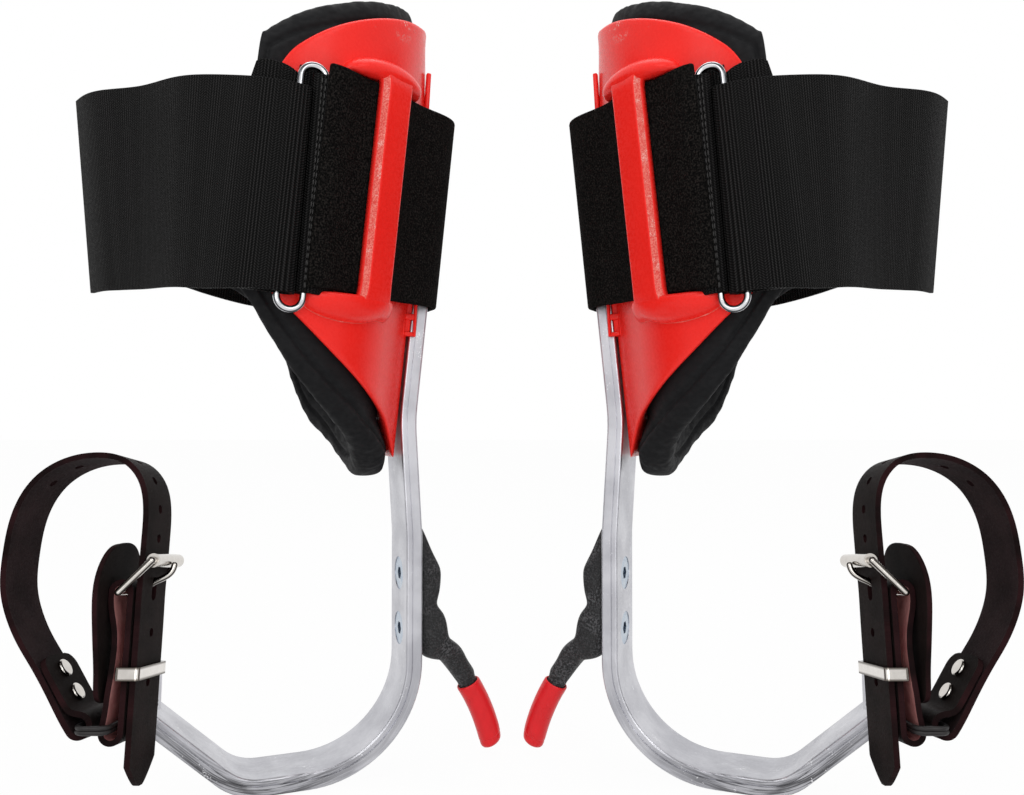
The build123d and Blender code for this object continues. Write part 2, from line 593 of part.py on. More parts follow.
tongue += Pos(*bar_a, 0) * slab(Circle(3.0), -1.7, 1.7)
tongue -= Pos(*bar_a, 0) * slab(Circle(frame_wire + running), -5, 5)
tongue += Pos(prong @ 1) * Sphere(1.3)
node["buckle_tongue"] = strap_at * tongue

# Keeper: metal band round the buckle strap's front layer and the tail
k_in = (buckle_front - 0.7, tail_in + t + 0.5)
k_mid, k_span = (k_in[0] + k_in[1]) / 2, k_in[1] - k_in[0]
band = Rectangle(k_span + 2 * keeper_wall, strap_width + 1.8 + 2 * keeper_wall)
band = fillet(band.vertices(), 1.6) - Rectangle(k_span, strap_width + 1.8)
keeper = Pos(k_mid, keeper_y + keeper_height / 2, 0) * (
    Plane.XZ * extrude(band, keeper_height))
node["strap_keeper"] = strap_at * keeper

os.makedirs("parts", exist_ok=True)
place = Location((-half_spacing, depth_shift, tread_height), (0, 0, toe_angle))
for name, shape in node.items():
    left = place * shape
    export_step(left, f"parts/left_{name}.step")
    export_step(mirror(left, about=Plane.YZ), f"parts/right_{name}.step")
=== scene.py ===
# %% [markdown]
# # A pair of tree climbing spikes, dressed in Blender
# Each climber is a bent aluminium bar with a stirrup, a steel gaff, a padded calf cuff with a wide
# belt, and a leather foot strap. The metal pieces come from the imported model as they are. The soft
# and moulded pieces are made here as surfaces worked out with numpy, because a formula is easier
# to change than a hand-moved mesh. Everything is worked out once, for the left climber, and the
# right one is its mirror image, as on the real pair.

import bpy
import numpy as np
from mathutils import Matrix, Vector


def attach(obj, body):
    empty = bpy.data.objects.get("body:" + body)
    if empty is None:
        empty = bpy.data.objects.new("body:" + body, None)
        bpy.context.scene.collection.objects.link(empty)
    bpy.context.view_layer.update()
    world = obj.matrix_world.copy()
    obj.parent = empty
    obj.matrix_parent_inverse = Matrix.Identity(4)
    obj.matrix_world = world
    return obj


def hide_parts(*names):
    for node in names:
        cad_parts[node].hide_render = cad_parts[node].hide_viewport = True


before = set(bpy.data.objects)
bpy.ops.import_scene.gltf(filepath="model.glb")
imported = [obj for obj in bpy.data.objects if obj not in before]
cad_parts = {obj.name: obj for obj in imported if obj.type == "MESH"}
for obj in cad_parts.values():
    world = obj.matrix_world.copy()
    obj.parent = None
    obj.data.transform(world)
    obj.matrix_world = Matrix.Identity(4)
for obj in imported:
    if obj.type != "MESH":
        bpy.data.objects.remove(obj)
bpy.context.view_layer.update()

# %% [markdown]
# ## Three frames
# A climber is easier to describe in its own frame: x towards the gaff, y away from the viewer, z up
# from the tread. The cuff leans, and the foot strap hangs turned, so each has a frame within that.
# A frame is an origin and three axes, and a point goes up to the next frame by one matrix product.

# %% Frames of the climber, the cuff and the strap, in millimetres
MM = 0.001
toe_angle = np.radians(21.6)
half_spacing, depth_shift, tread_height = 56.5, 24.0, 8.0
cuff_lean = np.radians(6.0)
strap_turn, strap_lift = np.radians(22.0), np.radians(9.4)


def axes(x_axis, z_axis):
    """Rows are x, z cross x, and z: the directions of a frame in the frame above it."""
    x_axis, z_axis = np.array(x_axis), np.array(z_axis)
    return np.stack([x_axis, np.cross(z_axis, x_axis), z_axis])


cuff_axes = axes((np.cos(cuff_lean), 0, -np.sin(cuff_lean)),
                 (np.sin(cuff_lean), 0, np.cos(cuff_lean)))
cuff_origin = np.array((-61.5, 0.0, 256.0))
strap_axes = axes(
    (np.cos(strap_turn), -np.sin(strap_turn), 0),
    (-np.sin(strap_turn) * np.cos(strap_lift), -np.cos(strap_turn) * np.cos(strap_lift),
     np.sin(strap_lift)))
strap_origin = np.array((-115.0, -34.0, 94.0))


def from_cuff(points):
    """Cuff to climber: the cuff's origin and so far along each of its axes."""
    return cuff_origin + points @ cuff_axes


def from_strap(points):
    """Strap to climber, in the same way."""
    return strap_origin + points @ strap_axes


def to_room(points):
    """A climber's points turned by the toe angle, moved to the left, in metres."""
    c, s = np.cos(toe_angle), np.sin(toe_angle)
    turn = np.array(((c, s, 0), (-s, c, 0), (0, 0, 1)))
    return (points @ turn + (-half_spacing, depth_shift, tread_height)) * MM


print("left cuff axis at", to_room(cuff_origin))

# %% [markdown]
# ## Grids, lines and meshes
# Every surface here is a grid of points with quads between them. A smooth line is a natural cubic
# spline, which is how a strap or a moulded edge settles between the places that hold it. The same
# few helpers serve every piece, and one of them makes the left piece and its mirror image, with the
# faces turned round on the mirrored one so that they still point outwards.

# %% Helpers for the faces of a grid


def grid_faces(rows, columns, wrap_rows=False, wrap_columns=False):
    """Quads of a grid: a point, the next row's, that one's neighbour, and its own neighbour."""
    i = np.arange(rows if wrap_rows else rows - 1)
    j = np.arange(columns if wrap_columns else columns - 1)
    i, j = np.meshgrid(i, j, indexing="ij")
    next_i, next_j = (i + 1) % rows, (j + 1) % columns
    corners = (i, j), (next_i, j), (next_i, next_j), (i, next_j)
    return np.stack([row * columns + column for row, column in corners], -1).reshape(-1, 4)


def weld(points, faces, uv=None):
    """Points that share a place become one, and quads that shrink to a line are dropped."""
    _, first, group = np.unique(np.round(points, 4), axis=0, return_index=True, return_inverse=True)
    faces = group.reshape(-1)[faces]
    keep = [list(dict.fromkeys(face)) for face in faces.tolist()]
    keep = [face for face in keep if len(face) > 2]
    return points[first], keep, None if uv is None else uv[first]


def joined(parts):
    """Points and faces of several parts in one: each part's faces count on from the part before."""
    starts = np.cumsum([0] + [len(points) for points, _ in parts]).tolist()
    faces = [[index + start for index in face]
             for start, (_, part_faces) in zip(starts, parts) for face in part_faces]
    return np.concatenate([points for points, _ in parts]), faces


print("face helpers ready")

# %% Helpers for smooth lines


def spline(at, values, wanted):
    """Natural cubic spline: second slopes solve one matrix row for each inner point."""
    at, values = np.asarray(at, float), np.asarray(values, float)
    step = np.diff(at)
    inner = np.arange(1, len(at) - 1)
    matrix = np.eye(len(at))
    matrix[inner, inner - 1] = step[:-1]
    matrix[inner, inner] = 2 * (step[:-1] + step[1:])
    matrix[inner, inner + 1] = step[1:]
    slope = np.diff(values, axis=0) / step.reshape(-1, *[1] * (values.ndim - 1))
    right = np.zeros_like(values)
    right[1:-1] = 6 * np.diff(slope, axis=0)
    bend = np.linalg.solve(matrix, right)
    k = np.clip(np.searchsorted(at, wanted) - 1, 0, len(step) - 1)
    shape = (-1, *[1] * (values.ndim - 1))
    h, after = step[k].reshape(shape), (wanted - at[k]).reshape(shape)
    before = h - after
    return ((bend[k] * before ** 3 + bend[k + 1] * after ** 3) / (6 * h)
            + (values[k] / h - bend[k] * h / 6) * before
            + (values[k + 1] / h - bend[k + 1] * h / 6) * after)


def line_length(points):
    """Length along a line up to each of its points: the sum of the steps before it."""
    return np.r_[0, np.cumsum(np.linalg.norm(np.diff(points, axis=0), axis=1))]


def smooth_line(points, step):
    """Spline through points, then respaced to even steps along its own length."""
    points = np.asarray(points, float)
    chord = line_length(points)
    dense = spline(chord, points, np.linspace(0, chord[-1], 40 * len(points)))
    run = line_length(dense)
    even = np.linspace(0, run[-1], int(run[-1] / step) + 1)
    return np.stack([np.interp(even, run, column) for column in dense.T], -1)


print("line helpers ready")

# %% Helper that makes a piece on both climbers


def make_pair(name, points, faces, body, node, finishes, uv=None):
    """Left mesh from points, or a grid of them, in the climber's frame. The right mesh has x
    negated and its faces reversed."""
    made = []
    points = points.reshape(-1, 3)
    faces = [list(face) for face in faces]
    for side, sign in (("left", 1), ("right", -1)):
        mesh = bpy.data.meshes.new(f"{side}_{name}")
        turned = faces if sign > 0 else [face[::-1] for face in faces]
        mesh.from_pydata((to_room(points) * (sign, 1, 1)).tolist(), [], turned)
        if uv is not None:
            corner = np.zeros(len(mesh.loops), np.int32)
            mesh.loops.foreach_get("vertex_index", corner)
            layer = mesh.uv_layers.new(name="run")
            layer.data.foreach_set("uv", uv.reshape(-1, 2)[corner].astype(np.float32).ravel())
        mesh.shade_smooth()
        piece = bpy.data.objects.new(f"{side}_{name}", mesh)
        bpy.context.scene.collection.objects.link(piece)
        for finish in finishes:
            mesh.materials.append(finish)
        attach(piece, f"{side}_{body}")
        if node:
            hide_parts(f"{side}_{node}")
        made.append(piece)
    print(name, len(points), "points,", len(faces), "faces on each side")
    return made


print("pair maker ready")

# %% Helper that gives a sheet its thickness
bevel_above = np.radians(50)


def thicken(pair, thick, round_edge, back=0, rim=0):
    """Solidify gives a sheet its thickness, half to each side, and Bevel rounds the sharp edges
    that this makes. Back and rim choose among the piece's finishes."""
    for piece in pair:
        wall = piece.modifiers.new("wall", "SOLIDIFY")
        wall.thickness, wall.offset = thick * MM, 0.0
        wall.use_even_offset = True
        wall.material_offset, wall.material_offset_rim = back, rim
        edge = piece.modifiers.new("edge", "BEVEL")
        edge.width, edge.segments = round_edge * MM, 2
        edge.limit_method, edge.angle_limit = "ANGLE", bevel_above
        edge.harden_normals = True


print("thickness helper ready")

# %% [markdown]
# ## Finishes
# A finish is a small node tree on a Principled shader. Two effects turn up again and again: an
# uneven mottle with a fine grain, and sparse scuffs. Each is a node group, built once, that puts
# out plain masks, so a material only has to say how large it is and what to do with it.

# %% Node helpers


def add(tree, kind, inputs=(), **settings):
    """New shader node: settings are its options, inputs are values or sockets to link from."""
    made = tree.nodes.new("ShaderNode" + kind)
    for key, value in settings.items():
        setattr(made, key, value)
    for key, value in dict(inputs).items():
        if isinstance(value, bpy.types.NodeSocket):
            tree.links.new(value, made.inputs[key])
        else:
            made.inputs[key].default_value = value
    return made


def calc(tree, operation, *values):
    """One Math node on the values, such as MULTIPLY of two or ABSOLUTE of one."""
    return add(tree, "Math", enumerate(values), operation=operation).outputs[0]


def span(tree, value, low, high, start=0.0, stop=1.0):
    """Value from low to high carried to start to stop with eased ends."""
    made = add(tree, "MapRange", {"Value": value, "From Min": low, "From Max": high,
                                  "To Min": start, "To Max": stop}, interpolation_type="SMOOTHSTEP")
    return made.outputs["Result"]


def mix(tree, share, first, second):
    """Colour between two colours: the first where the share is 0, the second where it is 1."""
    made = add(tree, "Mix", data_type="RGBA")
    for key, value in (("Factor_Float", share), ("A_Color", first), ("B_Color", second)):
        socket = next(s for s in made.inputs if s.identifier == key)
        if isinstance(value, bpy.types.NodeSocket):
            tree.links.new(value, socket)
        else:
            socket.default_value = value
    return next(s for s in made.outputs if s.identifier == "Result_Color")


def group(name, inputs, outputs):
    """Empty node group with named inputs and with masks as outputs, and its two inner ends."""
    tree = bpy.data.node_groups.new(name, "ShaderNodeTree")
    for label, kind in inputs:
        tree.interface.new_socket(label, in_out="INPUT", socket_type="NodeSocket" + kind)
    for label in outputs:
        tree.interface.new_socket(label, in_out="OUTPUT", socket_type="NodeSocketFloat")
    return tree, tree.nodes.new("NodeGroupInput").outputs, tree.nodes.new("NodeGroupOutput").inputs


print("node helpers ready")

# %% Two shared groups: a mottle with its grain, and scuffs


def noise(tree, given, finer, detail):
    """Noise at the group's vector and at its scale made finer by a factor."""
    scale = calc(tree, "MULTIPLY", given["Scale"], finer)
    made = add(tree, "TexNoise", {"Vector": given["Vector"], "Scale": scale, "Detail": detail})
    return made.outputs["Fac"]


scaled = [("Vector", "Vector"), ("Scale", "Float")]
mottle_tree, given, put = group("mottle", scaled, ["Patch", "Grain"])
mottle_tree.links.new(noise(mottle_tree, given, 1.0, 4.0), put["Patch"])
mottle_tree.links.new(noise(mottle_tree, given, 14.0, 3.0), put["Grain"])

scuff_tree, given, put = group("scuffs", [*scaled, ("Spread", "Float")], ["Mask"])
near = calc(scuff_tree, "ADD", noise(scuff_tree, given, 1.0, 2.0), given["Spread"])
speck = calc(scuff_tree, "MULTIPLY", near, noise(scuff_tree, given, 11.0, 5.0))
speck_from, speck_full = 0.40, 0.46
scuff_tree.links.new(span(scuff_tree, speck, speck_from, speck_full), put["Mask"])
print("groups", [g.name for g in bpy.data.node_groups])

# %% Helpers for a material


def finish(name, color, roughness, **constants):
    """Material with a Principled shader: constants are set on the shader's own sockets."""
    made = bpy.data.materials.new(name)
    made.use_nodes = True
    shader = made.node_tree.nodes["Principled BSDF"]
    shader.inputs["Base Color"].default_value = (*color, 1)
    shader.inputs["Roughness"].default_value = roughness
    for key, value in constants.items():
        shader.inputs[key.replace("_", " ")].default_value = value
    return made, made.node_tree, shader.inputs


def place(tree, stretch=(1, 1, 1)):
    """Object coordinates, stretched by a Mapping node."""
    at = add(tree, "TexCoord").outputs["Object"]
    return add(tree, "Mapping", {"Vector": at, "Scale": stretch}).outputs["Vector"]


def run_uv(tree, stretch=(1, 1, 1)):
    """The piece's own map: metres along the strap and metres across it."""
    at = add(tree, "UVMap", uv_map="run").outputs["UV"]
    return add(tree, "Mapping", {"Vector": at, "Scale": stretch}).outputs["Vector"]


def mottle(tree, vector, scale):
    """The mottle group's Patch and Grain at a place, with so many patches to a metre."""
    return add(tree, "Group", {"Vector": vector, "Scale": scale}, node_tree=mottle_tree).outputs


def scuffs(tree, vector, scale, spread):
    """The scuff group's mask: the larger the spread, the more specks there are."""
    inputs = {"Vector": vector, "Scale": scale, "Spread": spread}
    return add(tree, "Group", inputs, node_tree=scuff_tree).outputs["Mask"]


def bump(tree, shader, height, depth_mm, strength):
    """Relief: a height of one stands out by the depth."""
    made = add(tree, "Bump", {"Height": height, "Strength": strength, "Distance": depth_mm * MM})
    tree.links.new(made.outputs["Normal"], shader["Normal"])


print("material helpers ready")

# %% Helpers for colour and for a plain finish


def rgb(red, green, blue):
    """Colour as it shows on a screen, 0 to 255, made linear."""
    share = np.array((red, green, blue)) / 255
    return tuple(np.where(share > 0.04045, ((share + 0.055) / 1.055) ** 2.4, share / 12.92))


def rgba(red, green, blue):
    """The same colour with an opaque fourth value, as a colour socket takes it."""
    return (*rgb(red, green, blue), 1)


noise_low, noise_high = 0.3, 0.7


def paint(tree, shader, tone, cloud, smoothest, roughest):
    """Links the colour, and a roughness that follows a noise from its usual low to its high."""
    tree.links.new(tone, shader["Base Color"])
    rough = span(tree, cloud, noise_low, noise_high, smoothest, roughest)
    tree.links.new(rough, shader["Roughness"])


def mottled(name, color, roughness, tones, gloss, scale, by=("Patch", "Grain"), relief=None,
            stretch=(1, 1, 1), **constants):
    """Plain finish: one part of a mottle carries the colour from tone to tone, one part carries the
    roughness from gloss to gloss, and the grain may stand out as a relief."""
    made, tree, shader = finish(name, rgb(*color), roughness, **constants)
    cloud = mottle(tree, place(tree, stretch), scale)
    tone = mix(tree, cloud[by[0]], *(rgba(*part) for part in tones))
    paint(tree, shader, tone, cloud[by[1]], *gloss)
    if relief:
        bump(tree, shader, cloud["Grain"], *relief)
    return made


print("colour helpers ready")

# %% [markdown]
# ### Metals
# The bar is aluminium, bent and tumbled, so it is bright but not mirror-like, with long faint
# scratches, and coarser towards the foot, where it was forged. The buckle is nickel plated and much
# smoother. The screws have the bluish coat of zinc. The gaff is black coated casting, pitted all
# over. They differ mostly in colour, roughness and in how coarse their grain is. Pictures could
# carry that, but noise on Object coordinates needs no unwrapping and shows no seam. Some wear
# belongs to a place on the climber, such as the forged foot, so a third group turns a point of the
# room back into the climber's frame, on either side.

# %% Where a point is on its climber, as a shared group
climber_tree, given, put = group("climber_place", [("Vector", "Vector")], ["Out", "Back", "Up"])
at = add(climber_tree, "SeparateXYZ", {0: given["Vector"]}).outputs
away = calc(climber_tree, "SUBTRACT", half_spacing * MM, calc(climber_tree, "ABSOLUTE", at["X"]))
deep = calc(climber_tree, "SUBTRACT", at["Y"], depth_shift * MM)
turn_cos, turn_sin = np.cos(toe_angle), np.sin(toe_angle)
out = calc(climber_tree, "ADD", calc(climber_tree, "MULTIPLY", away, turn_cos),
           calc(climber_tree, "MULTIPLY", deep, turn_sin))
back = calc(climber_tree, "SUBTRACT", calc(climber_tree, "MULTIPLY", deep, turn_cos),
            calc(climber_tree, "MULTIPLY", away, turn_sin))
up = calc(climber_tree, "SUBTRACT", at["Z"], tread_height * MM)
for label, value in (("Out", out), ("Back", back), ("Up", up)):
    climber_tree.links.new(value, put[label])


def climber_spot(tree):
    """The climber group's Out, Back and Up, in metres."""
    return add(tree, "Group", {"Vector": place(tree)}, node_tree=climber_tree).outputs


shank_face, arm_foot = 0.6, 74.6
arm_out, arm_up = 0.68, 0.733
arm_bend, shank_bend = 20.0, 114.0


def bar_depth(tree, at):
    """Depth below the bar's leg side: the greatest of the depths below shank, tread and arm, run
    into each other as softly as the bar bends."""
    shank = calc(tree, "SUBTRACT", at["Out"], shank_face * MM)
    tread = calc(tree, "MULTIPLY", at["Up"], -1.0)
    foot = calc(tree, "MULTIPLY", calc(tree, "ADD", at["Out"], arm_foot * MM), -arm_out)
    arm = calc(tree, "SUBTRACT", foot, calc(tree, "MULTIPLY", at["Up"], arm_up))
    low = calc(tree, "SMOOTH_MAX", tread, arm, arm_bend * MM)
    return calc(tree, "SMOOTH_MAX", low, shank, shank_bend * MM)


print("climber group ready")

# %% Aluminium, streaked on its side faces and coarse towards the foot
side_from, side_full = 13.4, 14.6
leg_edge, outer_edge = 0.5, 5.5
forged_up, plain_up = 4.0, 58.0
forged_out, plain_out = -62.0, -10.0
streak_stretch, streak_scale, face_share = (0.035, 0.3), 1700, 0.1
aluminium, tree, shader = finish("aluminium_bar", rgb(205, 206, 210), 0.36, Metallic=1.0)
climber = climber_spot(tree)
cloud = mottle(tree, place(tree), 55)
scratch = scuffs(tree, place(tree, (0.3, 1, 0.5)), 260, 0.02)
depth = bar_depth(tree, climber)
drawn = add(tree, "CombineXYZ", {
    0: depth, 1: calc(tree, "MULTIPLY", climber["Out"], streak_stretch[0]),
    2: calc(tree, "MULTIPLY", climber["Back"], streak_stretch[1])}).outputs[0]
streak = mottle(tree, drawn, streak_scale)
side_face = span(tree, calc(tree, "ABSOLUTE", climber["Back"]), side_from * MM, side_full * MM)
side_face = calc(tree, "MULTIPLY", side_face,
                 span(tree, depth, leg_edge * MM, outer_edge * MM, 0.35, 1.0))
side_face = calc(tree, "ADD", calc(tree, "MULTIPLY", side_face, 1 - face_share), face_share)
forged = calc(tree, "MULTIPLY", span(tree, climber["Up"], forged_up * MM, plain_up * MM, 1.0, 0.12),
              span(tree, climber["Out"], forged_out * MM, plain_out * MM, 1.0, 0.3))
rough = calc(tree, "MULTIPLY", side_face, forged)
tone = mix(tree, span(tree, cloud["Patch"], 0.3, 0.72), rgba(182, 182, 188), rgba(206, 206, 211))
worn = calc(tree, "MULTIPLY", rough, span(tree, streak["Patch"], 0.40, 0.60, 0.25, 1.0))
tone = mix(tree, scratch, mix(tree, worn, tone, rgba(88, 88, 91)), rgba(228, 228, 231))
paint(tree, shader, tone, cloud["Grain"], 0.30, 0.42)
bump(tree, shader, calc(tree, "MULTIPLY", rough, streak["Patch"]), 0.3, 0.6)
print("finish", aluminium.name)

# %% Nickel, wire, zinc and casting
keeper_y, keeper_flat, keeper_half = -34.0, 1.3, 2.3


def keeper_edge_reflection(tree):
    """Mask near the keeper's two edges, where its painted dark reflection goes, by the distance from
    its middle along the strap.
    """
    spot = climber_spot(tree)
    along = -strap_origin @ strap_axes[1] * MM - keeper_y * MM
    for label, share in zip(("Out", "Back", "Up"), strap_axes[1]):
        along = calc(tree, "ADD", calc(tree, "MULTIPLY", spot[label], share), along)
    return span(tree, calc(tree, "ABSOLUTE", along), keeper_flat * MM, keeper_half * MM)


def plated(name, dull, bright, dark, scale, edges=None):
    """Smooth plating with a painted reflection: the colour is bright face on, has a painted dark
    band where the surface turns away, and is paler again at the rim, as a rounded shiny thing in a
    white room with a dark doorway looks. Edges, where given, add to the painted dark band."""
    made, tree, shader = finish(name, rgb(*bright), 0.16, Metallic=1.0)
    smear = mottle(tree, place(tree), scale)
    facing = add(tree, "LayerWeight", {"Blend": 0.5}).outputs["Facing"]
    # Painted dark reflection: a band of turned-away angles where the colour goes to the dark colour.
    band = calc(tree, "MULTIPLY", span(tree, facing, 0.05, 0.15),
                span(tree, facing, 0.36, 0.55, 1.0, 0.0))
    if edges:
        band = calc(tree, "MAXIMUM", band, edges(tree))
    tone = mix(tree, smear["Patch"], rgba(*dull), rgba(*bright))
    paint(tree, shader, mix(tree, band, tone, rgba(*dark)), smear["Patch"], 0.10, 0.22)
    bump(tree, shader, smear["Grain"], 0.02, 0.3)
    return made


# The third colour of each plated finish is its painted dark reflection.
nickel = plated("nickel", (186, 180, 174), (226, 222, 216), (62, 58, 54), 220)
# The keeper's band also gets the painted dark reflection along its two edges.
nickel_band = plated("nickel_band", (206, 201, 196), (236, 232, 227), (104, 98, 92), 220,
                     keeper_edge_reflection)
wire = plated("bright_wire", (196, 197, 200), (232, 233, 235), (74, 75, 78), 260)
zinc = mottled("zinc_screws", (176, 188, 200), 0.28, ((140, 160, 184), (206, 212, 216)),
               (0.20, 0.38), 320, Metallic=1.0)
dark_wire = mottled("black_wire", (34, 33, 34), 0.42, ((24, 23, 24), (52, 50, 50)),
                    (0.34, 0.55), 300, Metallic=0.6)

casting, tree, shader = finish("black_casting", rgb(36, 36, 37), 0.55, Specular_IOR_Level=0.22)
pits = mottle(tree, place(tree), 75)
# Painted highlight: the colour turns lighter where the pitted grain stands highest, the same grain
# that the bump raises.
pitted = calc(tree, "MULTIPLY", span(tree, pits["Grain"], 0.42, 0.66),
              span(tree, pits["Patch"], 0.40, 0.60, 0.3, 1.0))
tone = mix(tree, pitted, rgba(33, 33, 34), rgba(86, 86, 88))
paint(tree, shader, tone, pits["Patch"], 0.4, 0.6)
bump(tree, shader, pits["Grain"], 0.8, 0.8)
print("metals", [m.name for m in (nickel, nickel_band, wire, zinc, dark_wire, casting)])

# %% [markdown]
# ### Plastics, cloth and leather
# The cuff is glossy red plastic with a few white scuffs along its top and one knocked spot near the
# rim. The guard is softer red vinyl. Webbing has ribs across it and a fine twill between them,
# which follow the strap, so they read the piece's own map. Pile is felt-like. Leather has cells,
# and a back that is paler and rougher than its grain side. Ribs and cells could be modelled, but
# they are finer than the faces, so a bump shows them.

# %% Plastic, vinyl, foam, pile and thread
scuff_scale, scuffed_above, scuffed_fully = 130, 330.0, 340.0
knock_at = (-8 * MM, -48 * MM, 338 * MM)
knock_core, knock_reach = 3.0, 9.0
plastic, tree, shader = finish("red_plastic", rgb(240, 42, 34), 0.28, Specular_IOR_Level=0.2)
cloud = mottle(tree, place(tree), 45)
spot = climber_spot(tree)
scrape = add(tree, "CombineXYZ", {0: spot["Out"], 1: spot["Back"], 2: spot["Up"]}).outputs[0]
rub = calc(tree, "MULTIPLY", scuffs(tree, scrape, scuff_scale, 0.03),
           span(tree, spot["Up"], scuffed_above * MM, scuffed_fully * MM))
knock = add(tree, "VectorMath", {0: scrape, 1: knock_at}, operation="DISTANCE").outputs["Value"]
knocked = calc(tree, "MULTIPLY", scuffs(tree, scrape, scuff_scale, 0.16),
               span(tree, knock, knock_core * MM, knock_reach * MM, 1.0, 0.0))
tone = mix(tree, cloud["Patch"], rgba(240, 38, 32), rgba(252, 48, 40))
tone = mix(tree, calc(tree, "MAXIMUM", rub, knocked), tone, rgba(238, 196, 188))
paint(tree, shader, tone, cloud["Grain"], 0.22, 0.34)
bump(tree, shader, cloud["Patch"], 0.2, 0.3)

vinyl = mottled("red_vinyl", (226, 30, 37), 0.32, ((213, 22, 30), (236, 36, 42)), (0.26, 0.4), 150,
                ("Patch", "Patch"), (0.05, 0.4), Specular_IOR_Level=0.3)
foam = mottled("black_foam", (26, 26, 27), 0.72, ((11, 11, 12), (27, 27, 29)), (0.62, 0.82), 320,
               ("Grain", "Patch"), (0.12, 0.6), (1, 1, 1.6), Specular_IOR_Level=0.16)

pile, tree, shader = finish("black_pile", rgb(12, 11, 11), 0.95, Specular_IOR_Level=0.03)
fuzz = mottle(tree, place(tree), 95)
tone = mix(tree, span(tree, fuzz["Grain"], 0.4, 0.75), rgba(8, 8, 8), rgba(42, 39, 37))
paint(tree, shader, tone, fuzz["Patch"], 0.86, 1.0)
bump(tree, shader, fuzz["Grain"], 0.5, 0.9)

thread, tree, shader = finish("black_thread", rgb(28, 27, 26), 0.6)
twist = mottle(tree, place(tree), 900)
tree.links.new(mix(tree, twist["Patch"], rgba(14, 13, 13), rgba(38, 36, 34)), shader["Base Color"])
print("soft finishes", [m.name for m in (plastic, vinyl, foam, pile, thread)])

# %% Webbing finish
rib_step, twill_step, band_width = 1.3, 1.1, 12.0
twill_slant, twill_share = 0.75, 0.7
webbing, tree, shader = finish("black_webbing", rgb(20, 20, 20), 0.6, Specular_IOR_Level=0.05)
flat = add(tree, "SeparateXYZ", {0: run_uv(tree, (1 / MM, 1 / MM, 1))}).outputs
rib = calc(tree, "SINE", calc(tree, "MULTIPLY", flat["X"], 2 * np.pi / rib_step))
fold = calc(tree, "PINGPONG", flat["X"], 2 * rib_step)
slant = calc(tree, "ADD", flat["Y"], calc(tree, "MULTIPLY", fold, twill_slant))
twill = calc(tree, "SINE", calc(tree, "MULTIPLY", slant, 2 * np.pi / twill_step))
band = calc(tree, "SINE", calc(tree, "MULTIPLY", flat["X"], 2 * np.pi / band_width))
ribbed = span(tree, band, -0.3, 0.5, 0.5, 1.2)
height = calc(tree, "ADD", calc(tree, "MULTIPLY", rib, ribbed),
              calc(tree, "MULTIPLY", twill, twill_share))
lint = mottle(tree, run_uv(tree), 800)
# The colour follows the weave's height: painted shade between the threads, painted highlight on the
# raised ribs and twill.
tone = mix(tree, span(tree, height, -0.6, 2.0), rgba(5, 5, 5), rgba(46, 45, 45))
tone = mix(tree, span(tree, lint["Grain"], 0.55, 0.8, 0, 0.4), tone, rgba(34, 33, 31))
paint(tree, shader, tone, lint["Patch"], 0.5, 0.68)
bump(tree, shader, height, 0.16, 0.9)
print("webbing finish ready")

# %% Leather finishes: grain side, back, cut edge


def leather(name, dark, light, low, high, cell, depth, bend):
    """Cells of a Voronoi pattern over a soft mottle, both along the strap's own map. A low bending
    of light keeps the waxed black dark where it is seen at a slant."""
    made, tree, shader = finish(name, rgb(*light), (low + high) / 2, IOR=bend)
    tint = mottle(tree, run_uv(tree), 60)
    cells = add(tree, "TexVoronoi", {"Vector": run_uv(tree), "Scale": 1 / (cell * MM)},
                feature="DISTANCE_TO_EDGE").outputs["Distance"]
    tone = mix(tree, span(tree, tint["Patch"], noise_low, noise_high), rgba(*dark), rgba(*light))
    paint(tree, shader, tone, tint["Grain"], low, high)
    rise = calc(tree, "ADD", span(tree, cells, 0.0, 0.18),
                calc(tree, "MULTIPLY", tint["Grain"], 0.8))
    bump(tree, shader, rise, depth, 0.6)
    return made


grain_side = leather("brown_leather", (25, 20, 19), (37, 30, 29), 0.34, 0.46, 0.8, 0.05, 1.05)
flesh_side = leather("leather_back", (38, 29, 30), (52, 40, 41), 0.6, 0.8, 0.7, 0.12, 1.1)
suede_side = leather("leather_suede", (140, 88, 88), (198, 142, 138), 0.85, 0.98, 0.6, 0.2, 1.2)
cut_edge = leather("leather_edge", (16, 11, 11), (42, 22, 24), 0.5, 0.7, 0.6, 0.1, 1.1)
print("leathers", [m.name for m in (grain_side, flesh_side, suede_side, cut_edge)])

# %% [markdown]
# ## Metal pieces from the model
# The bar, its screws, the ring, the link, the buckle, the rivets and the keeper have their true
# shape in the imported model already, so they only get their finish.

# %% Finishes on the pieces that stay
kept = {
    "shank_stirrup": aluminium, "gaff_screws": zinc, "cuff_screws": zinc, "cuff_nuts": zinc,
    "calf_ring": wire, "foot_link": dark_wire, "buckle_frame": nickel, "buckle_roller": nickel,
    "buckle_tongue": nickel, "strap_rivets": nickel, "strap_keeper": nickel_band}
for name, chosen in kept.items():
    for side in ("left", "right"):
        for place_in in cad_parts[f"{side}_{name}"].material_slots:
            place_in.material = chosen
print("kept nodes", 2 * len(kept))

# %% [markdown]
# ## Gaff and guard
# The gaff is one casting: a flat back against the bar, a lumpy outline, and a round spike. It could
# be sculpted, but its two side lines show from the front, and numbers are easier to correct. They
# are drawn as pairs of points, leg side and outer side, and a rounded square section is stretched
# between each pair. Near the spike the section eases from square to round. The guard is a turned
# profile, so it is spun about the spike's line.

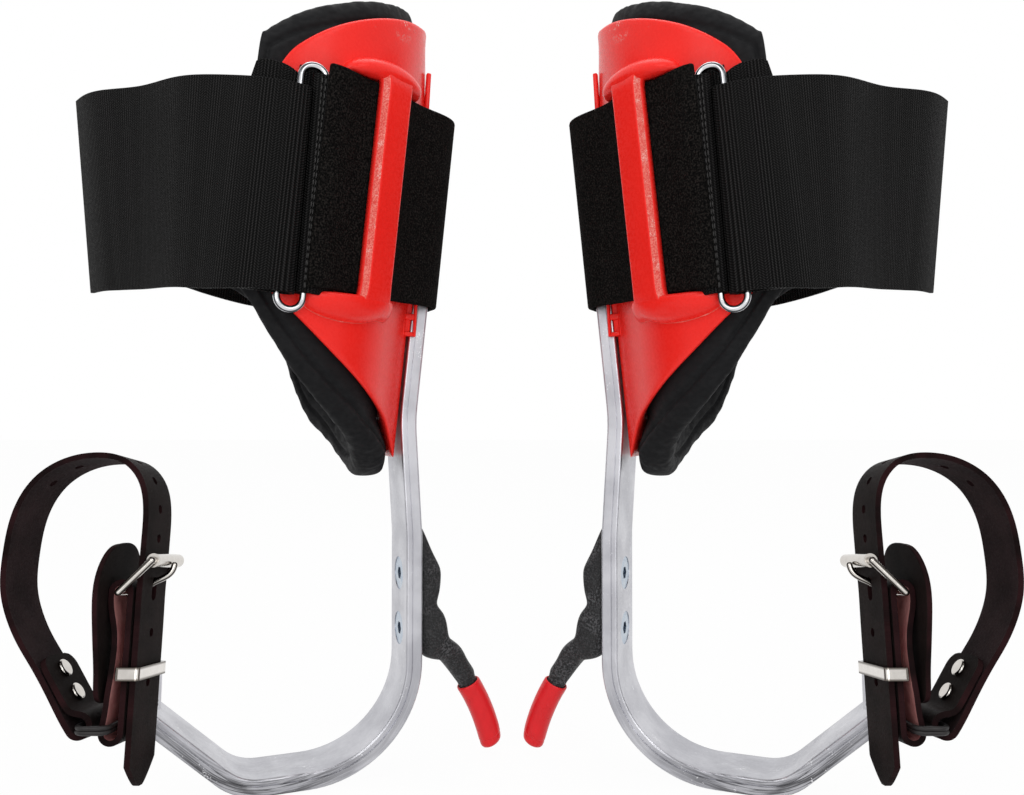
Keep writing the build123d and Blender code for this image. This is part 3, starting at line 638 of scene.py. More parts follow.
# %% Gaff body from paired side lines
gaff_back = 8.6
spike_tilt = np.radians(24.3)
spike_way = np.array((np.sin(spike_tilt), 0, -np.cos(spike_tilt)))
spike_side = np.array((np.cos(spike_tilt), 0, np.sin(spike_tilt)))
spike_root = np.array((gaff_back + 27.9, 0, 29.0))
gaff_pairs = [  # back x and z, outer x and z, half width, squareness
    (0.0, 110.4, 1.6, 110.8, 5.0, 3.0), (0.0, 105.0, 4.0, 105.2, 7.6, 4.0),
    (0.0, 97.5, 7.2, 97.0, 9.8, 5.0), (0.0, 90.0, 10.6, 90.0, 10.9, 5.0),
    (0.0, 84.0, 11.4, 84.5, 11.0, 5.0), (0.0, 77.0, 10.6, 77.0, 10.8, 5.0),
    (0.0, 71.0, 9.7, 71.2, 10.4, 5.0), (0.0, 66.0, 12.8, 66.4, 10.8, 5.0),
    (0.0, 60.0, 14.9, 60.0, 11.0, 5.0), (0.2, 53.0, 16.2, 54.2, 11.0, 5.0),
    (2.4, 46.4, 20.2, 50.6, 10.2, 4.5), (9.0, 43.4, 24.0, 46.4, 8.2, 4.0),
    (14.2, 40.4, 27.0, 41.2, 6.4, 3.2)]
for along, radius in ((-5.0, 5.3), (-1.0, 4.7), (12.0, 3.8), (26.0, 2.0), (31.5, 1.0)):
    middle = spike_root + along * spike_way - (gaff_back, 0, 0)
    back, front = middle - radius * spike_side, middle + radius * spike_side
    gaff_pairs.append((back[0], back[2], front[0], front[2], radius, 2.0))
boss_x, boss_z, boss_radius, boss_rise, boss_fade = 7.6, 54.0, 5.0, 0.7, 1.2


def gaff_surface(rows=150, columns=72):
    """Superellipse between two side lines: cos and sin to the power 2/n, scaled by both halves. A
    low round boss stands on the near side, and each end is closed by its middle point."""
    at = np.linspace(0, len(gaff_pairs) - 1, rows)
    line = spline(np.arange(len(gaff_pairs)), gaff_pairs, at)
    back = np.stack([line[:, 0], 0 * at, line[:, 1]], -1)
    front = np.stack([line[:, 2], 0 * at, line[:, 3]], -1)
    around = np.linspace(0, 2 * np.pi, columns, endpoint=False)
    power = 2 / line[:, 5:6]
    across = np.sign(np.cos(around)) * np.abs(np.cos(around)) ** power
    deep = np.sign(np.sin(around)) * np.abs(np.sin(around)) ** power
    points = ((back + front) / 2)[:, None] + across[..., None] * ((front - back) / 2)[:, None]
    points[..., 1] = deep * line[:, 4:5]
    reach = np.hypot(points[..., 0] - boss_x, points[..., 2] - boss_z)
    rise = np.clip((boss_radius - reach) / boss_fade, 0, 1) * np.clip(-deep * 4 - 2, 0, 1)
    points[..., 1] -= boss_rise * rise * rise * (3 - 2 * rise)
    ends = points[[0, -1]].mean(1, keepdims=True) + 0 * points[[0, -1]]
    return np.concatenate([ends[:1], points, ends[1:]]) + (gaff_back, 0, 0)


gaff_grid = gaff_surface()
gaff_faces = grid_faces(*gaff_grid.shape[:2], wrap_columns=True)
points, faces, _ = weld(gaff_grid.reshape(-1, 3), gaff_faces)
make_pair("gaff_body", points, faces, "frame", "gaff", [casting])

# %% Guard spun about the spike
guard_profile = np.array([  # distance along the spike, radius
    (35.0, 0.0), (35.0, 2.6), (34.8, 3.9), (34.2, 4.8), (33.3, 5.4), (32.2, 5.65), (30.6, 5.7),
    (30.3, 5.62), (30.0, 5.86), (27.0, 5.95), (16.0, 5.98), (6.0, 6.02), (1.6, 6.1), (0.5, 6.0),
    (0.1, 5.7), (0.1, 5.3), (0.6, 5.0), (6.0, 4.95), (28.0, 4.95), (29.5, 3.4), (29.8, 0.0)])
guard_bend, guard_bow = 1.6, 1.2


def spun(profile, columns=64):
    """Each profile point turned about the spike's line: radius times cos and sin of the angle, and
    pushed sideways by a parabola, as a cap that has taken a bend."""
    around = np.linspace(0, 2 * np.pi, columns, endpoint=False)
    along, radius = profile[:, :1], profile[:, 1:]
    share = along / along.max()
    side = radius * np.cos(around) + 4 * guard_bow * share * (1 - share) - guard_bend * share ** 2
    return (spike_root + along[..., None] * spike_way + side[..., None] * spike_side
            + (radius * np.sin(around))[..., None] * np.array((0, 1, 0)))


fine_at = np.linspace(0, len(guard_profile) - 1, 4 * len(guard_profile))
coarse_at = np.arange(len(guard_profile))
guard_line = np.stack([np.interp(fine_at, coarse_at, column) for column in guard_profile.T], -1)
guard_grid = spun(guard_line)
guard_faces = grid_faces(*guard_grid.shape[:2], wrap_columns=True)[:, ::-1]
points, faces, _ = weld(guard_grid.reshape(-1, 3), guard_faces)
make_pair("guard_cap", points, faces, "guard", "gaff_guard", [vinyl])

# %% [markdown]
# ## Calf cuff
# The cuff is a moulded shell, part of a ring about the leg, cut to a swept outline. It could be a
# cut sheet with a thickness, but a closed loop gives its round rim and its keel at once. The loop
# goes up the outer face, over the rim, down the inner face and back, and is carried round the ring.
# At the back the outer face swells into a low keel that fades towards the top. On each side two
# rounded shoulders stand on it with a bridge bar between them, and the belt passes under the bar.
# Behind the keel two flanges grip the shank: each is a ladder of windows as high as the belt, with
# one rail that goes on above it.

# %% Cuff outline and section
wing_angle = np.radians(100.0)
wing_round = 8.0
shell_top = np.array([(-12.0, 53.0), (1.3, 66.0), (25.2, 82.0), (63.0, 100.2)])
shell_low = np.array([(-12.0, -36.0), (5.0, -48.0), (23.9, -62.2), (39.7, -73.5), (52.3, -83.4),
                      (58.3, -89.7), (62.4, -97.4), (67.0, -106.5)])
shell_low_far = np.array([(-63.0, -26.0), (12.6, -36.0), (28.3, -50.0), (37.8, -64.0),
                          (54.2, -88.0), (63.0, -106.0)])
far_blend = 0.3


def edges_at(angle, radius, top, low, low_far, wing, rounding):
    """Top and bottom heights at an angle: splines over x, higher below on the far side, and both
    drawn in by a quarter circle at the ends of the wings."""
    x = radius * np.cos(angle)
    high = spline(top[:, 0], top[:, 1], x)
    near_low = spline(low[:, 0], low[:, 1], x)
    far_low = np.maximum(near_low, spline(low_far[:, 0], low_far[:, 1], x))
    share = np.clip(0.5 + angle / far_blend, 0, 1)
    bottom = near_low + (far_low - near_low) * share
    left = np.clip(rounding - (wing - np.abs(angle)) * radius, 0, rounding)
    pull = rounding - np.sqrt(rounding ** 2 - left ** 2)
    return bottom + pull, high - pull


def ring_section(bottom, top, inner, outer, rim, rows, turns, lift=0.0):
    """Loop of heights and radii: up the outer face, half a turn over the rim, down the inner
    face, which stops higher by lift, half a turn under it."""
    half = (outer - inner) / 2
    middle = (outer + inner) / 2
    share = np.linspace(0, 1, rows)[:, None]
    arc = np.linspace(0, np.pi, turns + 2)[1:-1, None]
    climb = bottom + rim + (top - bottom - 2 * rim) * share
    over_z, over_r = top - rim + rim * np.sin(arc), middle + half * np.cos(arc)
    under_z, under_r = bottom + rim - rim * np.sin(arc), middle - half * np.cos(arc)
    inside = climb + lift * (1 - share)
    under_z = under_z + lift * (1 + np.cos(arc)) / 2
    blank = 0 * bottom
    heights = np.concatenate([climb, over_z + blank, inside[::-1], under_z + blank])
    radii = np.concatenate([outer + 0 * climb, over_r + blank, inner + 0 * climb, under_r + blank])
    return heights, radii


print("cuff outline from", shell_low[:, 1].min(), "to", shell_top[:, 1].max(), "mm")

# %% Cuff shell with its keel
cuff_radius, cuff_wall = 63.0, 3.5
keel_angle, keel_half, keel_rise = np.radians(34.0), 13.6, 4.3
keel_fade = 46.0, 96.0


def keel_radius(angle):
    """Radius of the outer face: a flat across the back, a straight slope down from each of its
    edges, then the ring."""
    angle = np.abs(angle)
    back = cuff_radius + keel_rise
    slope_foot = cuff_radius * np.array((np.cos(keel_angle), np.sin(keel_angle)))
    along = np.array((back, keel_half)) - slope_foot
    slope = ((back * along[1] - keel_half * along[0])
             / (along[1] * np.cos(angle) - along[0] * np.sin(angle)))
    keel = np.minimum(back / np.cos(np.minimum(angle, keel_angle)), slope)
    return np.where(angle < keel_angle, np.maximum(keel, cuff_radius), cuff_radius)


def ring_points(angle, heights, radii):
    """Radius times cos and sin of the angle, at each height."""
    return np.stack([radii * np.cos(angle), radii * np.sin(angle), heights], -1)


def ring_faces(rows, columns):
    """Faces of a loop that is carried round the ring: quads, and a cap at each end."""
    line = np.arange(rows) * columns
    quads = grid_faces(rows, columns, wrap_rows=True)[:, ::-1].tolist()
    return quads + [line.tolist(), (line[::-1] + columns - 1).tolist()]


shell_angle = np.linspace(-wing_angle, wing_angle, 201)
shell_inner, shell_outer = cuff_radius - cuff_wall, keel_radius(shell_angle)
(inner_low, _), (_, high), (low, _) = (
    edges_at(shell_angle, radius, shell_top, shell_low, shell_low_far, wing_angle, wing_round)
    for radius in (shell_inner, cuff_radius, shell_outer))
heights, radii = ring_section(low, high, shell_inner, shell_outer, cuff_wall / 2, 70, 5,
                              inner_low - low)
above = np.clip((heights - keel_fade[0]) / np.ptp(keel_fade), 0, 1) * (radii > cuff_radius)
shell_grid = ring_points(shell_angle, heights, radii + (cuff_radius - radii) * above)
cuff_parts = [(shell_grid.reshape(-1, 3), ring_faces(*shell_grid.shape[:2]))]
print("shell grid", shell_grid.shape)

# %% Shoulders above and below the belt
belt_low, belt_high, lip_gap = -40.0, 52.0, 0.6
shoulder_profile = np.array([  # height away from the belt, rise above the shell
    (0.0, -1.5), (0.0, 4.6), (0.4, 6.2), (1.4, 7.3), (3.2, 7.9), (5.6, 7.8), (8.0, 7.2),
    (10.4, 6.1), (12.2, 4.6), (13.3, 3.0), (13.9, 1.4), (14.1, 0.2), (14.2, -1.5)])
upper_size, lower_size = 0.72, 0.84
end_power, least_spread, blunt_end = 4.5, 0.15, -0.6


def level_to_cuff(x, height):
    """Height along the leaning cuff at which a point x out lies at a level height."""
    return (height + np.sin(cuff_lean) * x) / np.cos(cuff_lean)


def shoulder(side, first, last, base, size, steps=60):
    """Profile carried round the ring, upwards or downwards by its size: height and rise both fade
    as a superellipse towards the ends, the height sooner at the end far from the shank."""
    angle = side * np.radians(np.linspace(first, last, steps))
    share = np.linspace(-1, 1, steps)
    fade = np.sqrt(1 - np.abs(share) ** end_power)
    away, rise = shoulder_profile[:, :1], shoulder_profile[:, 1:]
    radius = cuff_radius + np.where(rise > 0, rise * fade, rise)
    x, y = radius * np.cos(angle), radius * np.sin(angle)
    spread = np.sqrt(1 - np.clip(share, blunt_end, 1) ** 2)
    spread = least_spread + (1 - least_spread) * spread
    return np.stack([x, y, level_to_cuff(x, base + size * away * spread)], -1)


print("shoulder profile", len(shoulder_profile), "points")

# %% Bridge bars over the belt
bridge_angles = np.radians((47.0, 60.5))
bridge_profile = np.array([  # distance along the ring from the bar's middle, radius
    (8.0, 66.7), (8.0, 69.9), (7.9, 70.5), (7.6, 70.95), (7.1, 71.2), (6.5, 71.25), (-4.9, 71.4),
    (-5.5, 71.4), (-5.8, 71.2), (-7.5, 69.1), (-7.8, 68.6), (-7.9, 66.7)])
bridge_past, sink_before, sink_over = 8.0, 4.0, 12.0
bridge_widen, bridge_sink = 0.34, 3.6


def bridge(side, steps=60):
    """Section carried up the cuff: it widens and sinks as it runs into each shoulder."""
    middle = np.mean(bridge_angles)
    share = np.linspace(0, 1, steps)[:, None]
    level = (belt_low - bridge_past) + (belt_high - belt_low + 2 * bridge_past) * share
    past = np.maximum(belt_low + sink_before - level, level - belt_high + sink_before)
    past = np.clip(past / sink_over, 0, 1)
    tangent, radius = bridge_profile[:, 0], bridge_profile[:, 1]
    tangent = tangent * (1 + bridge_widen * past ** 2)
    radius = radius - bridge_sink * past ** 3
    angle = side * (middle - tangent / cuff_radius)
    x, y = radius * np.cos(angle), radius * np.sin(angle)
    return np.stack([x, y, level_to_cuff(x, level)], -1)


print("bridge section", len(bridge_profile), "points")

# %% Shoulders and bridges put on the cuff


def closed_tube(grid, flip):
    """Faces of a tube whose rows are loops: quads round it and one cap on each end."""
    rows, columns = grid.shape[:2]
    line = np.arange(columns)
    faces = grid_faces(rows, columns, wrap_columns=True).tolist()
    faces += [line.tolist(), (line[::-1] + (rows - 1) * columns).tolist()]
    return [face[::-1] for face in faces] if flip else faces


highlight_line_faces = []


def add_tube(grid, flip, *highlight_lines):
    """Adds a closed tube to the cuff and notes the faces along some lines of its profile, which get
    the painted highlight.
    """
    start = sum(len(faces) for _, faces in cuff_parts)
    for line in highlight_lines:
        highlight_line_faces.extend((start + np.arange(len(grid) - 1) * grid.shape[1] + line).tolist())
    cuff_parts.append((grid.reshape(-1, 3), closed_tube(grid, flip)))


# These profile segments, the shoulders' foot and the bridge's rim and chamfer, get the painted
# highlight lines.
shoulder_foot, bridge_rim, bridge_chamfer = 10, 2, 8
for side in (-1, 1):
    low_end = 83.0 if side < 0 else 64.0
    for first, last, base, size in ((33.0, 76.0, belt_high + lip_gap, upper_size),
                                    (38.0, low_end, belt_low - lip_gap, -lower_size)):
        grid = shoulder(side, first, last, base, size).transpose(1, 0, 2)
        add_tube(grid, side * size < 0, shoulder_foot)
    add_tube(bridge(side), side > 0, bridge_rim, bridge_chamfer)
print("cuff parts", len(cuff_parts))

# %% Box with rounded edges


def soft_box(low, high, edge=0.5):
    """Box with rounded edges: a 4 by 4 grid on each side, whose outer points are drawn to a
    distance of one edge radius from the inner box."""
    low, high = np.array(low, float), np.array(high, float)
    half, middle = (high - low) / 2, (high + low) / 2
    line = np.array((-1.0, -0.999, 0.999, 1.0))
    u, v = np.meshgrid(line, line, indexing="ij")
    parts, faces = [], []
    for axis in range(3):
        for sign in (-1, 1):
            flat = np.empty((4, 4, 3))
            flat[..., axis] = sign
            flat[..., (axis + 1) % 3], flat[..., (axis + 2) % 3] = u, v
            quads = grid_faces(4, 4)
            faces.append((quads if sign > 0 else quads[:, ::-1]) + 16 * len(parts))
            parts.append(flat.reshape(-1, 3))
    unit = np.concatenate(parts)
    inner = np.clip(unit * half, edge - half, half - edge)
    outermost = np.abs(unit) > 0.9995
    inner = np.where(outermost, np.sign(unit) * (half - edge), inner)
    out = np.where(outermost, np.sign(unit), 0.0)
    out /= np.linalg.norm(out, axis=1, keepdims=True)
    points, kept_faces, _ = weld(inner + edge * out + middle, np.concatenate(faces))
    return points, kept_faces


print("box helper ready")

# %% Boss and flanges at the back of the cuff
shank_in, bar_width = 68.3, 30.0
boss_low, boss_high, flange_high = -47.0, 46.0, 84.0
flange_thick, flange_out, flange_taper = 2.7, 70.9, 6.0
window_in, window_out = flange_out - 5.7, flange_out - 1.3
window_step, rail_width, rail_high = 8.7, 2.1, 81.5
rung_below, rung_above, overlap = 0.8, 2.1, 0.1
flange_gap, web_in, web_out = 0.2, 0.4, 0.8
boss_root, flange_root, boss_out = cuff_radius - 2.5, cuff_radius - 3, shank_in - 0.1


def tapered(points):
    """Points drawn in towards the cuff, more the higher they are."""
    up = np.clip((points[:, 2:] - boss_low) / (flange_high - boss_low), 0, 1)
    return points - np.array((flange_taper, 0, 0)) * up


bar_side = bar_width / 2
cuff_parts.append(soft_box((boss_root, -bar_side, boss_low), (boss_out, bar_side, boss_high)))
for side in (-1, 1):
    y = sorted((side * (bar_side + flange_gap), side * (bar_side + flange_gap + flange_thick)))
    web = sorted((side * (bar_side - web_in), side * (bar_side + web_out)))
    cuff_parts.append(soft_box((flange_root, web[0], boss_low), (boss_out, web[1], boss_high)))
    blocks = [(flange_root, boss_low, window_in, belt_high),
              (window_out, boss_low, flange_out, belt_high),
              (flange_out - rail_width, belt_high - 1, flange_out, rail_high)]
    for rung in np.arange(boss_low, belt_high, window_step):
        blocks.append((window_in - overlap, max(rung - rung_below, boss_low),
                       window_out + overlap, rung + rung_above))
    for x_in, z_low, x_out, z_high in blocks:
        points, faces = soft_box((x_in, y[0], z_low), (x_out, y[1], z_high))
        cuff_parts.append((tapered(points), faces))
print("cuff parts", len(cuff_parts))

# %% Cuff in one piece, with painted highlight lines and scuffs on its edges
# Pale pinkish lines along the shoulders' feet and the bridges' rims and chamfers are painted
# highlights; the white specks on them are scuffs.
highlight_and_scuff_plastic, tree, shader = finish("red_plastic_highlight_and_scuffs", rgb(240, 120, 112), 0.5,
                                    Specular_IOR_Level=0.2)
rub = scuffs(tree, place(tree), 240, 0.12)
haze = mottle(tree, place(tree), 120)
tone = mix(tree, span(tree, haze["Grain"], 0.35, 0.65), rgba(222, 62, 54), rgba(240, 128, 116))
paint(tree, shader, mix(tree, rub, tone, rgba(246, 190, 180)), haze["Grain"], 0.4, 0.6)
bump(tree, shader, haze["Grain"], 0.25, 0.6)

points, faces = joined(cuff_parts)
pair = make_pair("cuff_moulding", from_cuff(points), faces, "frame", "calf_cuff",
                 [plastic, highlight_and_scuff_plastic])
for piece in pair:
    chosen = np.zeros(len(piece.data.polygons), np.int32)
    chosen[highlight_line_faces] = 1
    piece.data.polygons.foreach_set("material_index", chosen)

# %% [markdown]
# ## Calf pad
# The pad is foam in a cloth cover, with a rolled rim and sewn channels down its inner face. It
# could be drawn as it is, but a cover that is under pressure settles by itself, so a thinner and
# taller pad is remeshed, blown up a little as cloth, and kept out of the cuff. That leaves its
# outline a little uneven, so its edges are then settled on the sewn line. The rim's seam and the
# channels are narrower than the remeshed faces, so they are pressed in last.

# %% Thin pad to start from
pad_outer, pad_inner = 59.2, 47.0
pad_wing, pad_round = np.radians(112.5), 3.0
pad_top = np.array([(-24.0, 62.5), (-14.3, 70.3), (-6.2, 76.4), (2.1, 81.2), (18.3, 89.1),
                    (33.1, 95.9), (45.3, 101.2), (60.0, 107.0)])
pad_low = np.array([(-24.0, -37.0), (-14.3, -43.0), (-6.2, -52.5), (2.1, -62.3), (10.3, -71.3),
                    (18.3, -78.3), (33.1, -89.2), (45.3, -97.6), (54.1, -107.5), (60.0, -117.5)])
pad_low_far = np.array([(-63.0, -27.0), (3.2, -35.0), (12.6, -44.0), (19.0, -54.0), (26.0, -68.0),
                        (33.1, -82.5), (39.6, -92.5), (45.3, -98.5), (54.1, -107.5),
                        (60.0, -117.5)])
start_shrink, edge_reach = 1.2, 2.6


def pad_edges(angle):
    """The pad's lower and upper edge at an angle, held at the ends of its wings."""
    angle = np.clip(angle, -pad_wing, pad_wing)
    return edges_at(angle, pad_outer, pad_top, pad_low, pad_low_far, pad_wing, pad_round)


pad_angle = np.linspace(-pad_wing, pad_wing, 91)
low, high = pad_edges(pad_angle)
thin_inner, thin_outer = pad_inner + start_shrink, pad_outer - start_shrink
heights, radii = ring_section(low - edge_reach, high + edge_reach, thin_inner, thin_outer,
                              (thin_outer - thin_inner) / 2, 50, 7)
pad_grid = ring_points(pad_angle, heights, radii)
print("thin pad", pad_grid.shape)

# %% Helpers that read a mesh back


def mesh_points(mesh):
    """A mesh's points as rows of x, y and z."""
    flat = np.zeros(3 * len(mesh.vertices), np.float32)
    mesh.vertices.foreach_get("co", flat)
    return flat.reshape(-1, 3).astype(float)


def evaluated(item):
    """A new mesh that holds what the item's modifiers make at this frame."""
    graph = bpy.context.evaluated_depsgraph_get()
    graph.update()
    return bpy.data.meshes.new_from_object(item.evaluated_get(graph))


print("mesh readers ready")

# %% Remesh, blow up as cloth, subdivide
voxel, pressure, cloth_frames, puff_cap = 4.1, 4.0, 20, 2.6


def puffed(points, faces):
    """Voxel remesh, then some frames of cloth with pressure and no weight, each move capped, then
    smoothed, subdivided and smoothed again."""
    mesh = bpy.data.meshes.new("thin_pad")
    mesh.from_pydata((points * MM).tolist(), [], faces)
    item = bpy.data.objects.new("thin_pad", mesh)
    bpy.context.scene.collection.objects.link(item)
    grid = item.modifiers.new("even", "REMESH")
    grid.mode, grid.voxel_size = "VOXEL", voxel * MM
    even = evaluated(item)
    item.modifiers.clear()
    item.data = even
    start = mesh_points(even)
    cloth = item.modifiers.new("cover", "CLOTH").settings
    cloth.use_pressure, cloth.uniform_pressure_force = True, pressure
    cloth.effector_weights.gravity = 0.0
    for step in range(1, cloth_frames + 1):
        bpy.context.scene.frame_set(step)
    blown = mesh_points(evaluated(item))
    item.modifiers.clear()
    bpy.context.scene.frame_set(1)
    move = blown - start
    far = np.linalg.norm(move, axis=1, keepdims=True)
    start = start + move * np.minimum(1, puff_cap * MM / np.maximum(far, 1e-9))
    even.vertices.foreach_set("co", start.astype(np.float32).ravel())
    even.update()
    soft = item.modifiers.new("soft", "SMOOTH")
    fine = item.modifiers.new("fine", "SUBSURF")
    even_out = item.modifiers.new("even_out", "SMOOTH")
    soft.factor, soft.iterations = 0.5, 20
    fine.levels = fine.render_levels = 2
    even_out.factor, even_out.iterations = 0.5, 14
    dense = evaluated(item)
    bpy.data.objects.remove(item)
    return dense


pad_mesh = puffed(pad_grid.reshape(-1, 3), ring_faces(*pad_grid.shape[:2]))
pad_points = mesh_points(pad_mesh) / MM
pad_quads = [list(face.vertices) for face in pad_mesh.polygons]
print("puffed pad", len(pad_points), "points")

# %% Edges settled


def settle(points, bins=110):
    """How far the cover ends above and below the pad's edges is measured at each angle. Its highest
    and lowest points are carried to those edges, and what lies between them in proportion, so that
    the outline is as even as a sewn edge."""
    angle, height = np.arctan2(points[:, 1], points[:, 0]), points[:, 2]
    low, high = pad_edges(angle)
    limits = np.linspace(angle.min(), angle.max(), bins + 1)
    centre = (limits[1:] + limits[:-1]) / 2
    slot = np.clip(np.digitize(angle, limits) - 1, 0, bins - 1)
    under, over = np.full(bins, 1e3), np.full(bins, -1e3)
    np.minimum.at(under, slot, height - low)
    np.maximum.at(over, slot, height - high)
    under, over = (np.interp(angle, centre, line) for line in (under, over))
    share = (height - low - under) / (high + over - low - under)
    return np.stack([points[:, 0], points[:, 1], low + (high - low) * share], -1)


settled_pad = settle(pad_points)
print("settled pad from", settled_pad[:, 2].min(), "to", settled_pad[:, 2].max(), "mm")

# %% Rim seam and channels pressed in
channel_step, channel_depth, channel_half = np.radians(22.0), 3.0, 2.0
channel_in, channel_fade = 3.0, 9.0
seam_in, seam_depth, seam_half, rim_slope = 8.0, 1.5, 1.1, 0.8
tail_from, tail_ramp, tail_bulge = -87.5, 15.0, 7.0
tail_angle, tail_soft = np.radians(45.0), 0.25
inner_blend, outer_blend = 2.0, 4.0


def press(points):
    """Radius moved towards the pad's middle by bell curves: one at a steady distance from the
    edge on both faces, and one at each channel's angle on the inner face. Below the cuff's tail the
    outer face swells instead, into the hollow behind it."""
    angle = np.arctan2(points[:, 1], points[:, 0])
    radius = np.hypot(points[:, 0], points[:, 1])
    low, high = pad_edges(angle)
    side = (pad_wing - np.abs(angle)) * pad_outer
    edge = np.minimum(np.minimum(high - points[:, 2], points[:, 2] - low) * rim_slope, side)
    middle = (pad_inner + pad_outer) / 2
    inside = np.clip((middle - radius) / inner_blend, 0, 1)
    seam = seam_depth * np.exp(-((edge - seam_in) / seam_half) ** 2)
    off = (angle + channel_step / 2) % channel_step - channel_step / 2
    groove = channel_depth * np.exp(-(off * radius / channel_half) ** 2)
    groove *= inside * np.clip((edge - seam_in - channel_in) / channel_fade, 0, 1)
    radius = radius + np.where(radius < middle, seam, -seam) + groove
    radius = np.minimum(radius, pad_outer)
    tail = np.clip((tail_from - points[:, 2]) / tail_ramp, 0, 1)
    tail = tail * np.clip((tail_angle - np.abs(angle)) / tail_soft, 0, 1)
    radius = radius + tail_bulge * tail * np.clip((radius - middle) / outer_blend, 0, 1)
    return np.stack([radius * np.cos(angle), radius * np.sin(angle), points[:, 2]], -1)


pair = make_pair("pad_cover", from_cuff(press(settled_pad)), pad_quads, "frame",
                 "calf_pad", [foam])

# %% [markdown]
# ## Calf belt
# The belt is thick pile tape round the cuff, under both bridges and over the back of the shank. Its
# near end is sewn to a flat loop of plain tape that holds the ring, and a flap of the same tape
# lies behind the ring. A bevelled curve could make each of them, but its edges would all run
# square to its line. So they are sheets: a line seen from above, carried up from one edge to the
# other, then thickened.

# %% Belt
belt_thick, tape_thick = 2.8, 1.4
belt_line_radius, belt_step = 64.7, 2.0
trim_from, trim_over, trim_rise = 22.0, 12.0, 13.0


def polar(radius, *degrees):
    """Points on a circle about the leg: radius times cos and sin of each angle."""
    angle = np.radians(np.array(degrees, float))
    return np.stack([radius * np.cos(angle), radius * np.sin(angle)], -1)


def sheet(line, low, high, step, levels=True):
    """Grid along a line of x and y and up from low to high. Its map is the length along the line
    and the height. Levels are heights in the climber's frame."""
    run = line_length(line)
    rows = np.linspace(0, 1, int((np.max(high) - np.min(low)) / step) + 1)
    low, high = low + 0 * run[:, None], high + 0 * run[:, None]
    height = low + (high - low) * rows
    x = line[:, :1] + 0 * height
    z = level_to_cuff(x, height) if levels else height
    points = np.stack([x, line[:, 1:2] + 0 * height, z], -1)
    uv = np.stack([run[:, None] + 0 * height, height], -1) * MM
    return points, uv


near_end = np.concatenate([
    polar(71.7, -82.7), polar(71.0, -79.2), polar(69.3, -75.6), polar(67.0, -71.5),
    polar(65.3, -67.5), polar(belt_line_radius, -62, -54, -46, -38),
    [(64.5, -29.5), (73.5, -23.0), (78.6, -15.5), (79.3, -6.0)]])
far_end = np.concatenate([
    [(79.3, 6.0), (78.6, 15.5), (73.5, 23.0), (64.5, 29.5)],
    polar(belt_line_radius, 38, 46, 56, 68, 80, 89, 98)])
belt_line = smooth_line(np.concatenate([near_end, far_end]), belt_step)
belt_grid, belt_uv = sheet(belt_line, belt_low, belt_high, belt_step)
far_trim = np.clip((trim_from - belt_grid[..., 0]) / trim_over, 0, 1) * (belt_grid[..., 1] > 0)
share = np.linspace(0, 1, belt_grid.shape[1])
belt_grid[..., 2] += trim_rise * far_trim * (1 - share)
pair = make_pair("belt_pile", from_cuff(belt_grid), grid_faces(*belt_grid.shape[:2]), "frame",
                 "calf_belt", [pile], belt_uv)
thicken(pair, belt_thick, 0.9)

# %% Tape loop round the ring and flap behind it
ring_leg = np.array((8.876, -67.418))
ring_out, ring_along = polar(1.0, -82.5)[0], polar(1.0, 7.5)[0]
fold_in, fold_back, fold_size, fold_slant, slant_over = 0.9, 2.1, 3.1, 2.3, 3.0
fold_middle = ring_leg - fold_in * ring_out - fold_back * ring_along
past_leg = ring_leg + 2.25 * ring_out + ring_along
loop_low, loop_high, loop_step = -41.5, 48.5, 3.0
backing_radius, backing_high = 63.75, 52.5
half_turn = np.radians(np.linspace(0, 180, 9))[:, None]
loop_turn = np.cos(half_turn) * ring_out + np.sin(half_turn) * ring_along
loop_turn = fold_middle - fold_size * loop_turn
loop_line = smooth_line(np.concatenate([
    polar(64.0, -70.0), polar(64.0, -76.0), loop_turn, [past_leg],
    polar(70.3, -80.0), polar(69.0, -77.2), polar(66.6, -72.6)]), 0.6)


def slant_at(points):
    """How far the fold is drawn along the ring: none at the loop's top, all of it at its foot."""
    return fold_slant * (loop_high - points[..., 2]) / (loop_high - loop_low)


def slanted(points):
    """The fold drawn in towards the ring's leg, more the lower it is."""
    before_leg = -(points[..., :2] - ring_leg) @ ring_along
    pull = slant_at(points) * np.clip(before_leg / slant_over, 0, 1)
    return np.concatenate([points[..., :2] + pull[..., None] * ring_along, points[..., 2:]], -1)


tape_grid, tape_uv = sheet(loop_line, loop_low, loop_high, loop_step, levels=False)
back_line = smooth_line(polar(backing_radius, -92.0, -88.5, -85.0, -80.0, -76.0, -72.0), 1.5)
back_grid, back_uv = sheet(back_line, loop_low, backing_high, loop_step, levels=False)
points, faces = joined([(grid.reshape(-1, 3), grid_faces(*grid.shape[:2]))
                        for grid in (slanted(tape_grid), back_grid)])
uv = np.concatenate([part.reshape(-1, 2) for part in (tape_uv, back_uv)])
pair = make_pair("belt_ring_loop", from_cuff(points), faces, "frame", None,
                 [webbing], uv)
thicken(pair, tape_thick, 0.4)

# %% Stitches on the ring loop


def stitches(middles, along, out, length=2.3, radius=0.32):
    """Small ellipsoids: cos and sin round a circle, shrunk by a half sine along each stitch."""
    t = np.linspace(0, np.pi, 7)
    a = np.linspace(0, 2 * np.pi, 8, endpoint=False)
    side = np.cross(along, out)
    ring = np.cos(a)[:, None] * out + np.sin(a)[:, None] * side
    t = t[:, None, None]
    one = -np.cos(t) * length / 2 * along + radius * np.sin(t) * ring
    points = (middles[:, None, None] + one).reshape(-1, 3)
    faces = grid_faces(len(t), len(a), wrap_columns=True)[:, ::-1]
    starts = np.arange(len(middles))[:, None, None] * len(t) * len(a)
    return weld(points, (faces + starts).reshape(-1, 4))[:2]


